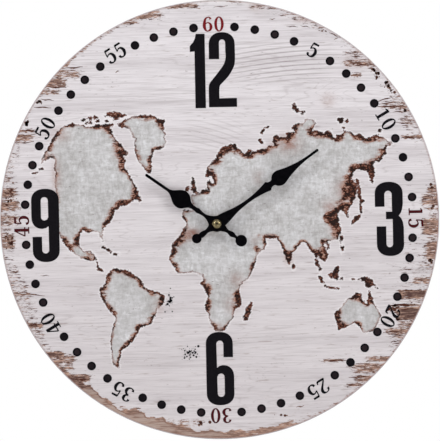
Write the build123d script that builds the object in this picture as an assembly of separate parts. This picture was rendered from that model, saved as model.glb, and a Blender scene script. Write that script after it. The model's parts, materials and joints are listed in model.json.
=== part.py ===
from build123d import *

import os
from math import cos, radians, sin

# Round wall clock: a printed board dial, two stamped hands and a quartz movement behind the board.
# Lengths are millimetres and angles are degrees.
# Clock space has X to the right and Y up as the dial is read, Z forward from the wall face, and the
# hand arbor on the Z axis. The last step turns it into the part's frame: +Z up, the dial facing -Y.

# Board and printed dial
BOARD_DIAMETER = 340.0
BOARD_THICKNESS = 6.0
BOARD_EDGE_ROUND = 0.8
PRINT_THICKNESS = 0.3
BOARD_CENTRE_RIGHT = 2.2
BOARD_CENTRE_ABOVE = 3.3

# Hands, with their angles clockwise from twelve
HAND_THICKNESS = 0.5
HAND_HUB_RADIUS = 6.2
HAND_TAIL_LAP = 0.8
HOUR_HAND_REACH = 67.0
HOUR_HAND_ANGLE = 305.75
HOUR_TAIL_DISC_REACH = 22.9
HOUR_TAIL_DISC_RADIUS = 4.5
HOUR_TIP_HALF_WIDTH = 1.13
HOUR_HAND_COLLAR_WALL = 0.7
HOUR_HAND_COLLAR_HEIGHT = 0.8
MINUTE_HAND_REACH = 97.0
MINUTE_HAND_ANGLE = 54.84
MINUTE_TAIL_DISC_REACH = 19.2
MINUTE_TAIL_DISC_RADIUS = 3.75
MINUTE_TIP_HALF_WIDTH = 1.02
CAP_NUT_RADIUS = 3.85
CAP_NUT_SKIRT = 0.9
CAP_NUT_HEIGHT = 3.5
STUD_LENGTH = 2.7

# Stack in front of the case
HANGER_THICKNESS = 1.0
GASKET_THICKNESS = 1.0
GASKET_RADIUS = 9.0
WASHER_THICKNESS = 0.5
WASHER_RADIUS = 5.8
NUT_THICKNESS = 2.0
NUT_ACROSS_FLATS = 10.0
BUSH_ABOVE_NUT = 0.8
HOUR_HAND_ABOVE_BUSH = 1.0
TUBE_ABOVE_HOUR_HAND = 0.2
MINUTE_HAND_ABOVE_TUBE = 1.7

# Concentric shafts
MINUTE_SHAFT_RADIUS = 1.6
STUD_RADIUS = 1.3
STUD_HALF_FLAT = 1.0
HOUR_TUBE_RADIUS = 2.5
BUSH_RADIUS = 4.0
BUSH_FLANGE_RADIUS = 6.0
BUSH_FLANGE_THICKNESS = 1.0
ARBOR_RADIUS = 0.5
KNOB_SHAFT_RADIUS = 1.2
RUNNING_CLEARANCE = 0.05
FIT_CLEARANCE = 0.02
THROUGH_CLEARANCE = 0.15

# Wheel train: teeth, distances between arbors and directions from one arbor to the next
ROTOR_TEETH = 10
TRANSMISSION_TEETH = 60
TRANSMISSION_PINION_TEETH = 12
SECOND_TEETH = 60
SECOND_PINION_TEETH = 8
THIRD_TEETH = 64
THIRD_PINION_TEETH = 8
CENTRE_TEETH = 60
MINUTE_PINION_TEETH = 12
MOTION_TEETH = 36
MOTION_PINION_TEETH = 10
HOUR_TEETH = 40
KNOB_TEETH = 12
THIRD_DISTANCE = 9.0
TRANSMISSION_DISTANCE = 9.0
ROTOR_DISTANCE = 8.75
MOTION_DISTANCE = 9.6
THIRD_DIRECTION = 180.0
TRANSMISSION_DIRECTION = 90.0
ROTOR_DIRECTION = 135.0
MOTION_DIRECTION = 0.0
KNOB_DIRECTION = 25.0
WHEEL_THICKNESS = 0.8
WHEEL_SPACING = 0.8
WHEEL_GAP = 0.6
PINION_OVERHANG = 0.2
CENTRE_HUB_WALL = 1.0
HOUR_COLLAR_WALL = 1.1
HOUR_COLLAR_LENGTH = 1.0
HOUR_COLLAR_GAP = 0.2

# Tooth outline, as shares of the module and of the tooth pitch
TOOTH_ABOVE_PITCH = 0.8
TOOTH_BELOW_PITCH = 1.2
TOOTH_ROOT_SHARE = 0.27
TOOTH_PITCH_SHARE = 0.19
TOOTH_TIP_SHARE = 0.09

# Case, cover and bridge
CASE_WALL = 1.5
CASE_FRONT_WALL = 1.4
CASE_CORNER_RADIUS = 3.0
PARTITION_WALL = 1.2
CHAMBER_CLEARANCE = 2.2
COVER_THICKNESS = 1.5
COVER_EDGE_ROUND = 0.5
COVER_LIP_WALL = 1.0
COVER_LIP_HEIGHT = 1.5
BRIDGE_THICKNESS = 1.2
BRIDGE_GAP = 0.5
BRIDGE_CORNER_RADIUS = 2.5
BRIDGE_MARGIN = 2.4
POST_RADIUS = 1.7
POST_STANDOFF = 1.3
POST_DROP = 6.5
POST_RISE = 9.0
PEG_RADIUS = 0.7
PEG_REST = 0.5
BOSS_WALL = 0.9
BOSS_HEIGHT = 1.6
ARBOR_END_GAP = 0.3
NOTCH_HALF_WIDTH = 8.0
NOTCH_DEPTH = 7.0

# Setting knob
KNOB_RADIUS = 5.8
KNOB_THICKNESS = 1.8
KNOB_RECESS = 0.5
KNOB_OPENING_GAP = 0.6
KNOB_FLUTES = 24
KNOB_FLUTE_RADIUS = 0.45
KNOB_DISH_DEPTH = 0.6
KNOB_RIM = 1.6

# Step motor
MAGNET_RADIUS = 2.4
MAGNET_LENGTH = 2.2
SPINDLE_RADIUS = 1.0
MAGNET_AIR_GAP = 0.4
STATOR_NECK = 0.8
STATOR_THICKNESS = 1.0
STATOR_SPAN = 30.0
STATOR_CENTRE_X = -1.0
LEG_WIDTH = 4.0
CORE_THICKNESS = 1.0
COIL_FLANGE_RADIUS = 3.6
COIL_FLANGE_THICKNESS = 1.0
COIL_LEG_GAP = 1.5
BOBBIN_WALL = 0.6
WINDING_RADIUS = 3.2
COIL_AIR_GAP = 0.4
COIL_PIN_RADIUS = 0.3
COIL_PIN_GRIP = 1.0

# Circuit board and what it carries
CIRCUIT_THICKNESS = 1.0
CIRCUIT_GAP = 0.5
CIRCUIT_SIDE_GAP = 3.0
CIRCUIT_LOW_GAP = 0.8
CIRCUIT_TOP_GAP = 0.3
CIRCUIT_POST_INSET = 3.5
CRYSTAL_RADIUS = 1.0
CRYSTAL_LENGTH = 6.0
CRYSTAL_POST_GAP = 2.5
CHIP_RADIUS = 3.0
CHIP_HEIGHT = 1.2
CHIP_X = -4.0

# Dry cell and its contacts
CELL_LENGTH = 50.5
CELL_DIAMETER = 14.5
CELL_SLEEVE = 0.2
CELL_SLEEVE_MARGIN = 0.6
CELL_BUTTON_RADIUS = 2.75
CELL_BUTTON_LENGTH = 1.0
CELL_RECESS = 0.5
CELL_CLEARANCE = 0.3
CELL_FRONT_GAP = 0.6
CONTACT_THICKNESS = 0.4
CONTACT_GAP = 0.15
CONTACT_PLATE_WIDTH = 8.0
CONTACT_STRIP_WIDTH = 3.0
CONTACT_TAB_OVERLAP = 1.1
CONTACT_SLOT_GAP = 0.2
LEAF_REACH = 1.9

# Wall hanger
HANGER_WIDTH = 20.0
HANGER_BELOW_ARBOR = 9.0
HANGER_CASE_GAP = 0.4
HANGER_RECESS = 1.0
HANGER_HOLE_RADIUS = 3.5
HANGER_HOLE_MARGIN = 5.5


# Depths along Z, from the wall face forward

knob_front = KNOB_RECESS + KNOB_THICKNESS
bridge_rear = max(COVER_THICKNESS, knob_front) + BRIDGE_GAP
bridge_front = bridge_rear + BRIDGE_THICKNESS


def layer(number):
    """Rear face of the wheels in one layer of the train, counted forward from the bridge."""
    return bridge_front + WHEEL_GAP + number * (WHEEL_THICKNESS + WHEEL_SPACING)


cell_front = CELL_RECESS + CELL_DIAMETER + CELL_FRONT_GAP
train_front = layer(5) + WHEEL_THICKNESS + HOUR_COLLAR_LENGTH + HOUR_COLLAR_GAP + BUSH_FLANGE_THICKNESS
case_inner = max(cell_front, train_front)
case_front = case_inner + CASE_FRONT_WALL
bush_rear = case_inner - BUSH_FLANGE_THICKNESS
hanger_front = case_front + HANGER_THICKNESS
board_rear = hanger_front + GASKET_THICKNESS
board_front = board_rear + BOARD_THICKNESS
print_front = board_front + PRINT_THICKNESS
washer_front = print_front + WASHER_THICKNESS
nut_front = washer_front + NUT_THICKNESS
bush_front = nut_front + BUSH_ABOVE_NUT
hour_hand_rear = bush_front + HOUR_HAND_ABOVE_BUSH
hour_hand_front = hour_hand_rear + HAND_THICKNESS
tube_front = hour_hand_front + TUBE_ABOVE_HOUR_HAND
minute_hand_rear = tube_front + MINUTE_HAND_ABOVE_TUBE
minute_hand_front = minute_hand_rear + HAND_THICKNESS
stud_front = minute_hand_front + STUD_LENGTH - HAND_THICKNESS
circuit_rear = bridge_front + CIRCUIT_GAP
circuit_front = circuit_rear + CIRCUIT_THICKNESS
stator_rear = layer(3) - WHEEL_GAP + PINION_OVERHANG
stator_front = stator_rear + STATOR_THICKNESS
core_front = stator_front + CORE_THICKNESS
coil_depth = stator_front + CORE_THICKNESS / 2
cell_depth = CELL_RECESS + CELL_DIAMETER / 2


# Places in the dial plane

def step(start, distance, direction):
    """Point at a distance from start, in a direction counted anticlockwise from X."""
    return (start[0] + distance * cos(radians(direction)), start[1] + distance * sin(radians(direction)))


def module_of(distance, teeth, other_teeth):
    """Module of two wheels that mesh at a distance between their arbors."""
    return 2 * distance / (teeth + other_teeth)


def tip_radius(teeth, module):
    """Radius over the teeth of a wheel."""
    return module * (teeth / 2 + TOOTH_ABOVE_PITCH)


hand_axis = (0.0, 0.0)
third_axis = step(hand_axis, THIRD_DISTANCE, THIRD_DIRECTION)
transmission_axis = step(hand_axis, TRANSMISSION_DISTANCE, TRANSMISSION_DIRECTION)
rotor_axis = step(transmission_axis, ROTOR_DISTANCE, ROTOR_DIRECTION)
motion_axis = step(hand_axis, MOTION_DISTANCE, MOTION_DIRECTION)

rotor_module = module_of(ROTOR_DISTANCE, ROTOR_TEETH, TRANSMISSION_TEETH)
transmission_module = module_of(TRANSMISSION_DISTANCE, TRANSMISSION_PINION_TEETH, SECOND_TEETH)
second_module = module_of(THIRD_DISTANCE, SECOND_PINION_TEETH, THIRD_TEETH)
third_module = module_of(THIRD_DISTANCE, THIRD_PINION_TEETH, CENTRE_TEETH)
minute_module = module_of(MOTION_DISTANCE, MINUTE_PINION_TEETH, MOTION_TEETH)
hour_module = module_of(MOTION_DISTANCE, MOTION_PINION_TEETH, HOUR_TEETH)
knob_distance = minute_module * (MOTION_TEETH + KNOB_TEETH) / 2
knob_axis = step(motion_axis, knob_distance, KNOB_DIRECTION)

third_tip = tip_radius(THIRD_TEETH, second_module)
largest_wheel = max(third_tip, tip_radius(CENTRE_TEETH, third_module), tip_radius(HOUR_TEETH, hour_module))
board_centre = (BOARD_CENTRE_RIGHT, BOARD_CENTRE_ABOVE)

inner_half_width = (CELL_LENGTH + CONTACT_THICKNESS + 2 * CONTACT_GAP + LEAF_REACH) / 2
chamber_low = -(largest_wheel + CHAMBER_CLEARANCE)
bay_high = chamber_low - PARTITION_WALL
bay_low = bay_high - CELL_DIAMETER - 2 * CELL_CLEARANCE
cell_y = (bay_high + bay_low) / 2
cell_left = -inner_half_width + LEAF_REACH + CONTACT_GAP

stator_hole = MAGNET_RADIUS + MAGNET_AIR_GAP
stator_low = rotor_axis[1] - stator_hole - STATOR_NECK
stator_high = rotor_axis[1] + stator_hole + STATOR_NECK
stator_left = STATOR_CENTRE_X - STATOR_SPAN / 2
stator_right = STATOR_CENTRE_X + STATOR_SPAN / 2
coil_y = stator_high + COIL_AIR_GAP + COIL_FLANGE_RADIUS
chamber_high = coil_y + COIL_FLANGE_RADIUS + COIL_AIR_GAP
bobbin_left = stator_left + LEG_WIDTH + COIL_LEG_GAP
bobbin_right = stator_right - LEG_WIDTH - COIL_LEG_GAP
leg_pegs = [(stator_left + LEG_WIDTH / 2, coil_y), (stator_right - LEG_WIDTH / 2, coil_y)]

circuit_low = transmission_axis[1] + tip_radius(TRANSMISSION_TEETH, rotor_module) + CIRCUIT_LOW_GAP
circuit_high = chamber_high - CIRCUIT_TOP_GAP
circuit_half_width = inner_half_width - CIRCUIT_SIDE_GAP
circuit_posts = [(side * (circuit_half_width - CIRCUIT_POST_INSET), coil_y) for side in (-1, 1)]

left_post_x = third_axis[0] - third_tip - POST_STANDOFF
right_post_x = knob_axis[0] + POST_STANDOFF
bridge_posts = [
    (left_post_x, -POST_DROP),
    (left_post_x, POST_RISE),
    (right_post_x, -POST_DROP),
    (knob_axis[0], knob_axis[1] + POST_RISE),
]

case_left = -inner_half_width - CASE_WALL
case_right = inner_half_width + CASE_WALL
case_low = bay_low - CASE_WALL
case_high = chamber_high + CASE_WALL
hanger_web_low = case_high + HANGER_CASE_GAP
hanger_web_high = hanger_web_low + HANGER_THICKNESS
hanger_hole_y = hanger_web_high + HANGER_HOLE_MARGIN + HANGER_HOLE_RADIUS
hanger_top = hanger_hole_y + HANGER_HOLE_RADIUS + HANGER_HOLE_MARGIN


# Simple shapes in clock space

def slab(face, rear, front):
    """Flat shape of the dial plane given thickness from one depth to another."""
    return extrude(Pos(0, 0, rear) * face, amount=front - rear)


def disc(radius, rear, front, at=hand_axis):
    """Round plate or pin along Z."""
    return slab(Pos(*at) * Circle(radius), rear, front)


def ring(outer, inner, rear, front, at=hand_axis):
    """Round plate with a round hole along Z."""
    return disc(outer, rear, front, at) - disc(inner, rear, front, at)


def panel(left, right, low, high, corner=0.0):
    """Rectangle between four edges, with rounded corners if a radius is given."""
    place = Pos((left + right) / 2, (low + high) / 2)
    if corner > 0:
        return place * RectangleRounded(right - left, high - low, corner)
    return place * Rectangle(right - left, high - low)


def block(left, right, low, high, rear, front):
    """Box between six faces."""
    return slab(panel(left, right, low, high), rear, front)


def rod_along_x(radius, left, right, y, depth):
    """Round bar along X."""
    return extrude(Plane.YZ.offset(left) * Pos(y, depth) * Circle(radius), amount=right - left)


# Toothed wheels

def toothed(teeth, module, phase):
    """Outline of a wheel with straight-sided teeth, the first tooth standing at the phase angle."""
    pitch_radius = module * teeth / 2
    root = pitch_radius - TOOTH_BELOW_PITCH * module
    tip = tip_radius(teeth, module)
    flank = [(root, TOOTH_ROOT_SHARE), (pitch_radius, TOOTH_PITCH_SHARE), (tip, TOOTH_TIP_SHARE)]
    sides = [(reach, -share) for reach, share in flank] + flank[::-1]
    points = []
    for tooth in range(teeth):
        for reach, share in sides:
            points.append(step(hand_axis, reach, phase + (tooth + share) * 360 / teeth))
    return make_face(Polyline(*points, close=True))


def mesh_phase(direction, phase, teeth, next_teeth):
    """Phase of the next wheel, whose gap faces the first wheel's tooth along their line of centres."""
    turns = (direction - phase) * teeth / 360
    return direction + 180 - (0.5 - turns) * 360 / next_teeth


def wheel(face, number):
    """Wheel blank in one layer."""
    return slab(face, layer(number), layer(number) + WHEEL_THICKNESS)


def pinion(face, number, rear=None):
    """Pinion that reaches past both sides of the wheel it drives, or back to the wheel behind it."""
    if rear is None:
        rear = layer(number) - PINION_OVERHANG
    return slab(face, rear, layer(number) + WHEEL_THICKNESS + PINION_OVERHANG)


def wheel_on_arbor(at, wheel_face, pinion_face, number, front):
    """Moulded wheel with the pinion in the next layer and the arbor through both."""
    body = wheel(wheel_face, number)
    body += pinion(pinion_face, number + 1, layer(number) + WHEEL_THICKNESS)
    body += disc(ARBOR_RADIUS, bridge_rear, front)
    return Pos(*at) * body


arbor_front = case_inner - ARBOR_END_GAP
minute_shaft_rear = layer(3) - PINION_OVERHANG
second_arbor_front = layer(4)

motion_phase = mesh_phase(MOTION_DIRECTION, 0, MINUTE_PINION_TEETH, MOTION_TEETH)
hour_phase = mesh_phase(MOTION_DIRECTION + 180, 0, MOTION_PINION_TEETH, HOUR_TEETH)
knob_phase = mesh_phase(KNOB_DIRECTION, motion_phase, MOTION_TEETH, KNOB_TEETH)
third_phase = mesh_phase(THIRD_DIRECTION, 0, CENTRE_TEETH, THIRD_PINION_TEETH)
second_phase = mesh_phase(THIRD_DIRECTION + 180, 0, THIRD_TEETH, SECOND_PINION_TEETH)
transmission_phase = mesh_phase(TRANSMISSION_DIRECTION, 0, SECOND_TEETH, TRANSMISSION_PINION_TEETH)
rotor_phase = mesh_phase(ROTOR_DIRECTION, 0, TRANSMISSION_TEETH, ROTOR_TEETH)


def transmission_wheel():
    return wheel_on_arbor(
        transmission_axis,
        toothed(TRANSMISSION_TEETH, rotor_module, 0),
        toothed(TRANSMISSION_PINION_TEETH, transmission_module, transmission_phase),
        0,
        arbor_front,
    )


def second_wheel():
    return wheel_on_arbor(
        hand_axis,
        toothed(SECOND_TEETH, transmission_module, 0),
        toothed(SECOND_PINION_TEETH, second_module, second_phase),
        1,
        second_arbor_front,
    )


def third_wheel():
    return wheel_on_arbor(
        third_axis,
        toothed(THIRD_TEETH, second_module, 0),
        toothed(THIRD_PINION_TEETH, third_module, third_phase),
        2,
        arbor_front,
    )


def centre_wheel():
    body = wheel(toothed(CENTRE_TEETH, third_module, 0), 3)
    body += disc(MINUTE_SHAFT_RADIUS + CENTRE_HUB_WALL, minute_shaft_rear, layer(4) - PINION_OVERHANG)
    return body - disc(MINUTE_SHAFT_RADIUS + FIT_CLEARANCE, 0, case_front)


def motion_wheel():
    return wheel_on_arbor(
        motion_axis,
        toothed(MOTION_TEETH, minute_module, motion_phase),
        toothed(MOTION_PINION_TEETH, hour_module, 0),
        4,
        arbor_front,
    )


def stud_profile(clearance=0.0):
    """Round stud with two flats, turned to the minute hand's angle."""
    half_flat = STUD_HALF_FLAT + clearance
    radius = STUD_RADIUS + clearance
    flats = Circle(radius) & Rectangle(2 * radius, 2 * half_flat)
    return Rot(0, 0, 90 - MINUTE_HAND_ANGLE) * flats


def minute_arbor():
    body = disc(MINUTE_SHAFT_RADIUS, minute_shaft_rear, minute_hand_rear)
    body += pinion(toothed(MINUTE_PINION_TEETH, minute_module, 0), 4)
    body += slab(stud_profile(), minute_hand_rear, stud_front)
    bore_front = second_arbor_front + ARBOR_END_GAP
    return body - disc(ARBOR_RADIUS + RUNNING_CLEARANCE, minute_shaft_rear, bore_front)


def hour_wheel():
    body = wheel(toothed(HOUR_TEETH, hour_module, hour_phase), 5)
    body += disc(HOUR_TUBE_RADIUS + HOUR_COLLAR_WALL, layer(5), bush_rear - HOUR_COLLAR_GAP)
    body += disc(HOUR_TUBE_RADIUS, layer(5), tube_front)
    return body - disc(MINUTE_SHAFT_RADIUS + RUNNING_CLEARANCE, layer(5), tube_front)


def setting_knob():
    rim = Circle(KNOB_RADIUS) - PolarLocations(KNOB_RADIUS, KNOB_FLUTES) * Circle(KNOB_FLUTE_RADIUS)
    body = slab(rim, KNOB_RECESS, knob_front)
    body -= ring(KNOB_RADIUS - KNOB_RIM, 2 * KNOB_SHAFT_RADIUS, KNOB_RECESS, KNOB_RECESS + KNOB_DISH_DEPTH)
    body += disc(KNOB_SHAFT_RADIUS, knob_front, arbor_front)
    body += pinion(toothed(KNOB_TEETH, minute_module, knob_phase), 4)
    return Pos(*knob_axis) * body


# Step motor

magnet_rear = (stator_rear + stator_front - MAGNET_LENGTH) / 2
magnet_front = magnet_rear + MAGNET_LENGTH


def rotor_pinion():
    body = pinion(toothed(ROTOR_TEETH, rotor_module, rotor_phase), 0)
    body += disc(ARBOR_RADIUS, bridge_rear, arbor_front)
    body += disc(SPINDLE_RADIUS, layer(0), magnet_front)
    return Pos(*rotor_axis) * body


def rotor_magnet():
    return ring(MAGNET_RADIUS, SPINDLE_RADIUS + FIT_CLEARANCE, magnet_rear, magnet_front, rotor_axis)


def peg_holes(places, rear, front):
    """Clearance holes for locating pegs."""
    holes = [disc(PEG_RADIUS + RUNNING_CLEARANCE, rear, front, place) for place in places]
    return Part() + holes


def stator():
    leg_high = coil_y + LEG_WIDTH / 2
    outline = panel(stator_left, stator_right, stator_low, stator_high)
    outline += panel(stator_left, stator_left + LEG_WIDTH, stator_low, leg_high)
    outline += panel(stator_right - LEG_WIDTH, stator_right, stator_low, leg_high)
    outline -= Pos(*rotor_axis) * Circle(stator_hole)
    return slab(outline, stator_rear, stator_front) - peg_holes(leg_pegs, stator_rear, stator_front)


def coil_core():
    strip = panel(stator_left, stator_right, coil_y - LEG_WIDTH / 2, coil_y + LEG_WIDTH / 2)
    return slab(strip, stator_front, core_front) - peg_holes(leg_pegs, stator_front, core_front)


barrel_half_height = LEG_WIDTH / 2 + BOBBIN_WALL
barrel_half_depth = CORE_THICKNESS / 2 + BOBBIN_WALL


def coil_barrel(grow=0.0):
    """Flat tube of the bobbin between its two flanges."""
    low = coil_y - barrel_half_height - grow
    high = coil_y + barrel_half_height + grow
    rear = coil_depth - barrel_half_depth - grow
    front = coil_depth + barrel_half_depth + grow
    return block(bobbin_left, bobbin_right, low, high, rear, front)


def coil_flange(left):
    """Round cheek of the bobbin, from its left face."""
    return rod_along_x(COIL_FLANGE_RADIUS, left, left + COIL_FLANGE_THICKNESS, coil_y, coil_depth)


coil_pin_places = [
    (bobbin_left + COIL_FLANGE_THICKNESS / 2, coil_y),
    (bobbin_right - COIL_FLANGE_THICKNESS / 2, coil_y),
]
coil_pin_front = coil_depth - COIL_FLANGE_RADIUS + COIL_PIN_GRIP


def coil_pin_shapes(radius, rear, front):
    return Part() + [disc(radius, rear, front, place) for place in coil_pin_places]


def coil_bobbin():
    body = coil_barrel() + coil_flange(bobbin_left) + coil_flange(bobbin_right - COIL_FLANGE_THICKNESS)
    half_height = LEG_WIDTH / 2 + RUNNING_CLEARANCE
    rear = stator_front - RUNNING_CLEARANCE
    front = core_front + RUNNING_CLEARANCE
    body -= block(bobbin_left, bobbin_right, coil_y - half_height, coil_y + half_height, rear, front)
    return body - coil_pin_shapes(COIL_PIN_RADIUS + FIT_CLEARANCE, circuit_front, coil_pin_front)


def coil_winding():
    left = bobbin_left + COIL_FLANGE_THICKNESS
    right = bobbin_right - COIL_FLANGE_THICKNESS
    return rod_along_x(WINDING_RADIUS, left, right, coil_y, coil_depth) - coil_barrel(FIT_CLEARANCE)


def coil_pins():
    return coil_pin_shapes(COIL_PIN_RADIUS, circuit_rear - PEG_REST, coil_pin_front)


# Circuit board

def circuit_board():
    plate = panel(-circuit_half_width, circuit_half_width, circuit_low, circuit_high)
    body = slab(plate, circuit_rear, circuit_front) - peg_holes(circuit_posts, circuit_rear, circuit_front)
    return body - coil_pin_shapes(COIL_PIN_RADIUS + RUNNING_CLEARANCE, circuit_rear, circuit_front)


def quartz_crystal():
    right = circuit_posts[1][0] - CRYSTAL_POST_GAP
    left = right - CRYSTAL_LENGTH
    return rod_along_x(CRYSTAL_RADIUS, left, right, coil_y, circuit_rear - CRYSTAL_RADIUS)


def chip_blob():
    dome_radius = (CHIP_RADIUS ** 2 + CHIP_HEIGHT ** 2) / (2 * CHIP_HEIGHT)
    dome = Pos(CHIP_X, coil_y, circuit_rear - CHIP_HEIGHT + dome_radius) * Sphere(dome_radius)
    return dome & disc(CHIP_RADIUS, circuit_rear - CHIP_HEIGHT, circuit_rear, (CHIP_X, coil_y))


# Dry cell and contacts

cell_body_right = cell_left + CELL_LENGTH - CELL_BUTTON_LENGTH
plate_low = cell_y - CONTACT_PLATE_WIDTH / 2
plate_high = cell_y + CONTACT_PLATE_WIDTH / 2
plate_rear = cell_depth - CONTACT_PLATE_WIDTH / 2
plate_front = cell_depth + CONTACT_PLATE_WIDTH / 2
strip_rear = circuit_front
strip_front = strip_rear + CONTACT_STRIP_WIDTH
tab_low = circuit_low + CONTACT_STRIP_WIDTH / 2
tab_high = tab_low + CONTACT_STRIP_WIDTH
tab_inner = circuit_half_width - CONTACT_TAB_OVERLAP


def cell_can():
    radius = CELL_DIAMETER / 2 - CELL_SLEEVE
    button_right = cell_left + CELL_LENGTH
    body = rod_along_x(radius, cell_left, cell_body_right, cell_y, cell_depth)
    return body + rod_along_x(CELL_BUTTON_RADIUS, cell_body_right, button_right, cell_y, cell_depth)


def cell_sleeve():
    left = cell_left + CELL_SLEEVE_MARGIN
    right = cell_body_right - CELL_SLEEVE_MARGIN
    inner = CELL_DIAMETER / 2 - CELL_SLEEVE + FIT_CLEARANCE
    outer = rod_along_x(CELL_DIAMETER / 2, left, right, cell_y, cell_depth)
    return outer - rod_along_x(inner, left, right, cell_y, cell_depth)


def contact_strip():
    """Strip up the right-hand wall from the cell bay, with a tab bent in under the circuit board."""
    inner = inner_half_width - CONTACT_THICKNESS
    strip = block(inner, inner_half_width, plate_low, tab_high, strip_rear, strip_front)
    tab = block(tab_inner, inner_half_width, tab_low, tab_high, strip_rear, strip_rear + CONTACT_THICKNESS)
    return strip + tab


def positive_contact():
    inner = inner_half_width - CONTACT_THICKNESS
    plate = block(inner, inner_half_width, plate_low, plate_high, plate_rear, plate_front)
    return contact_strip() + plate


def negative_contact():
    """Strip with a bowed leaf that presses on the flat end of the cell."""
    wall = inner_half_width - CONTACT_THICKNESS
    crown = inner_half_width - LEAF_REACH
    outer_bow = ThreePointArc((wall, plate_low), (crown, cell_y), (wall, plate_high))
    inner_bow = ThreePointArc(
        (inner_half_width, plate_high),
        (crown + CONTACT_THICKNESS, cell_y),
        (inner_half_width, plate_low),
    )
    upper_end = Line((wall, plate_high), (inner_half_width, plate_high))
    lower_end = Line((inner_half_width, plate_low), (wall, plate_low))
    leaf = slab(make_face([outer_bow, upper_end, inner_bow, lower_end]), plate_rear, plate_front)
    return mirror(contact_strip() + leaf, about=Plane.YZ)


# Case, cover and bridge

pivots = [third_axis, transmission_axis, motion_axis, rotor_axis]
chamber = (-inner_half_width, inner_half_width, chamber_low, chamber_high)
bridge_outline = panel(
    left_post_x - BRIDGE_MARGIN,
    right_post_x + BRIDGE_MARGIN,
    -POST_DROP - BRIDGE_MARGIN,
    max(rotor_axis[1], knob_axis[1] + POST_RISE) + BRIDGE_MARGIN,
    BRIDGE_CORNER_RADIUS,
)


def peg_post(places, rear, peg_rear):
    """Posts up from the front wall of the case, each with a locating peg on its end."""
    shapes = []
    for place in places:
        shapes.append(disc(POST_RADIUS, rear, case_inner, place))
        shapes.append(disc(PEG_RADIUS, peg_rear, rear, place))
    return shapes


def boss(place, shaft_radius):
    """Blind bearing for the front end of an arbor."""
    bore = shaft_radius + RUNNING_CLEARANCE
    return ring(bore + BOSS_WALL, bore, case_inner - BOSS_HEIGHT, case_inner, place)


def contact_slot():
    """Room in the right-hand end of the partition for a contact strip."""
    inner = inner_half_width - CONTACT_THICKNESS - CONTACT_SLOT_GAP
    rear = strip_rear - CONTACT_SLOT_GAP
    front = strip_front + CONTACT_SLOT_GAP
    return block(inner, inner_half_width, bay_high, chamber_low, rear, front)


def movement_case():
    body = slab(panel(case_left, case_right, case_low, case_high, CASE_CORNER_RADIUS), 0, case_front)
    body -= slab(panel(*chamber), 0, case_inner)
    body -= block(-inner_half_width, inner_half_width, bay_low, bay_high, 0, case_inner)
    body -= block(case_left, case_right, bay_high, case_high, 0, COVER_THICKNESS)
    body -= block(-NOTCH_HALF_WIDTH, NOTCH_HALF_WIDTH, case_low, bay_low, 0, NOTCH_DEPTH)
    body -= contact_slot()
    body -= mirror(contact_slot(), about=Plane.YZ)
    body += [boss(place, ARBOR_RADIUS) for place in pivots]
    body += boss(knob_axis, KNOB_SHAFT_RADIUS)
    body += peg_post(bridge_posts, bridge_front, bridge_rear - PEG_REST)
    body += peg_post(leg_pegs, core_front, stator_rear - PEG_REST)
    body += peg_post(circuit_posts, circuit_front, circuit_rear - PEG_REST)
    return body - disc(BUSH_RADIUS + FIT_CLEARANCE, case_inner, case_front)


def movement_cover():
    outline = panel(case_left, case_right, case_low, case_high, CASE_CORNER_RADIUS)
    outline &= panel(case_left, case_right, bay_high, case_high)
    body = slab(outline, 0, COVER_THICKNESS)
    edge_round = min(COVER_EDGE_ROUND, COVER_THICKNESS / 3)
    body = fillet(body.faces().sort_by(Axis.Z)[0].edges(), edge_round)
    gap = THROUGH_CLEARANCE
    lip = panel(-inner_half_width + gap, inner_half_width - gap, chamber_low + gap, chamber_high - gap)
    lip -= offset(lip, -COVER_LIP_WALL, kind=Kind.INTERSECTION)
    body += slab(lip, COVER_THICKNESS, COVER_THICKNESS + COVER_LIP_HEIGHT)
    return body - disc(KNOB_RADIUS + KNOB_OPENING_GAP, 0, COVER_THICKNESS, knob_axis)


def train_bridge():
    body = slab(bridge_outline, bridge_rear, bridge_front)
    body -= peg_holes(bridge_posts, bridge_rear, bridge_front)
    for place in [hand_axis] + pivots:
        body -= disc(ARBOR_RADIUS + RUNNING_CLEARANCE, bridge_rear, bridge_front, place)
    return body - disc(KNOB_SHAFT_RADIUS + RUNNING_CLEARANCE, bridge_rear, bridge_front, knob_axis)


# Bush, fixings and hanger

def threaded_bush():
    body = disc(BUSH_FLANGE_RADIUS, bush_rear, case_inner) + disc(BUSH_RADIUS, case_inner, bush_front)
    return body - disc(HOUR_TUBE_RADIUS + RUNNING_CLEARANCE, bush_rear, bush_front)


def wall_hanger():
    rear = HANGER_RECESS
    profile = [
        (-HANGER_BELOW_ARBOR, case_front),
        (hanger_web_low, case_front),
        (hanger_web_low, rear),
        (hanger_top, rear),
        (hanger_top, rear + HANGER_THICKNESS),
        (hanger_web_high, rear + HANGER_THICKNESS),
        (hanger_web_high, hanger_front),
        (-HANGER_BELOW_ARBOR, hanger_front),
    ]
    body = extrude(Plane.YZ * make_face(Polyline(*profile, close=True)), amount=HANGER_WIDTH / 2, both=True)
    body -= disc(BUSH_RADIUS + THROUGH_CLEARANCE, case_front, hanger_front)
    return body - disc(HANGER_HOLE_RADIUS, rear, rear + HANGER_THICKNESS, (0, hanger_hole_y))


def rubber_washer():
    return ring(GASKET_RADIUS, BUSH_RADIUS + THROUGH_CLEARANCE, hanger_front, board_rear)


def fixing_washer():
    return ring(WASHER_RADIUS, BUSH_RADIUS + THROUGH_CLEARANCE, print_front, washer_front)


def fixing_nut():
    hexagon = RegularPolygon(NUT_ACROSS_FLATS / 2, 6, major_radius=False)
    body = slab(hexagon, washer_front, nut_front)
    return body - disc(BUSH_RADIUS + FIT_CLEARANCE, washer_front, nut_front)


# Dial

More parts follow.
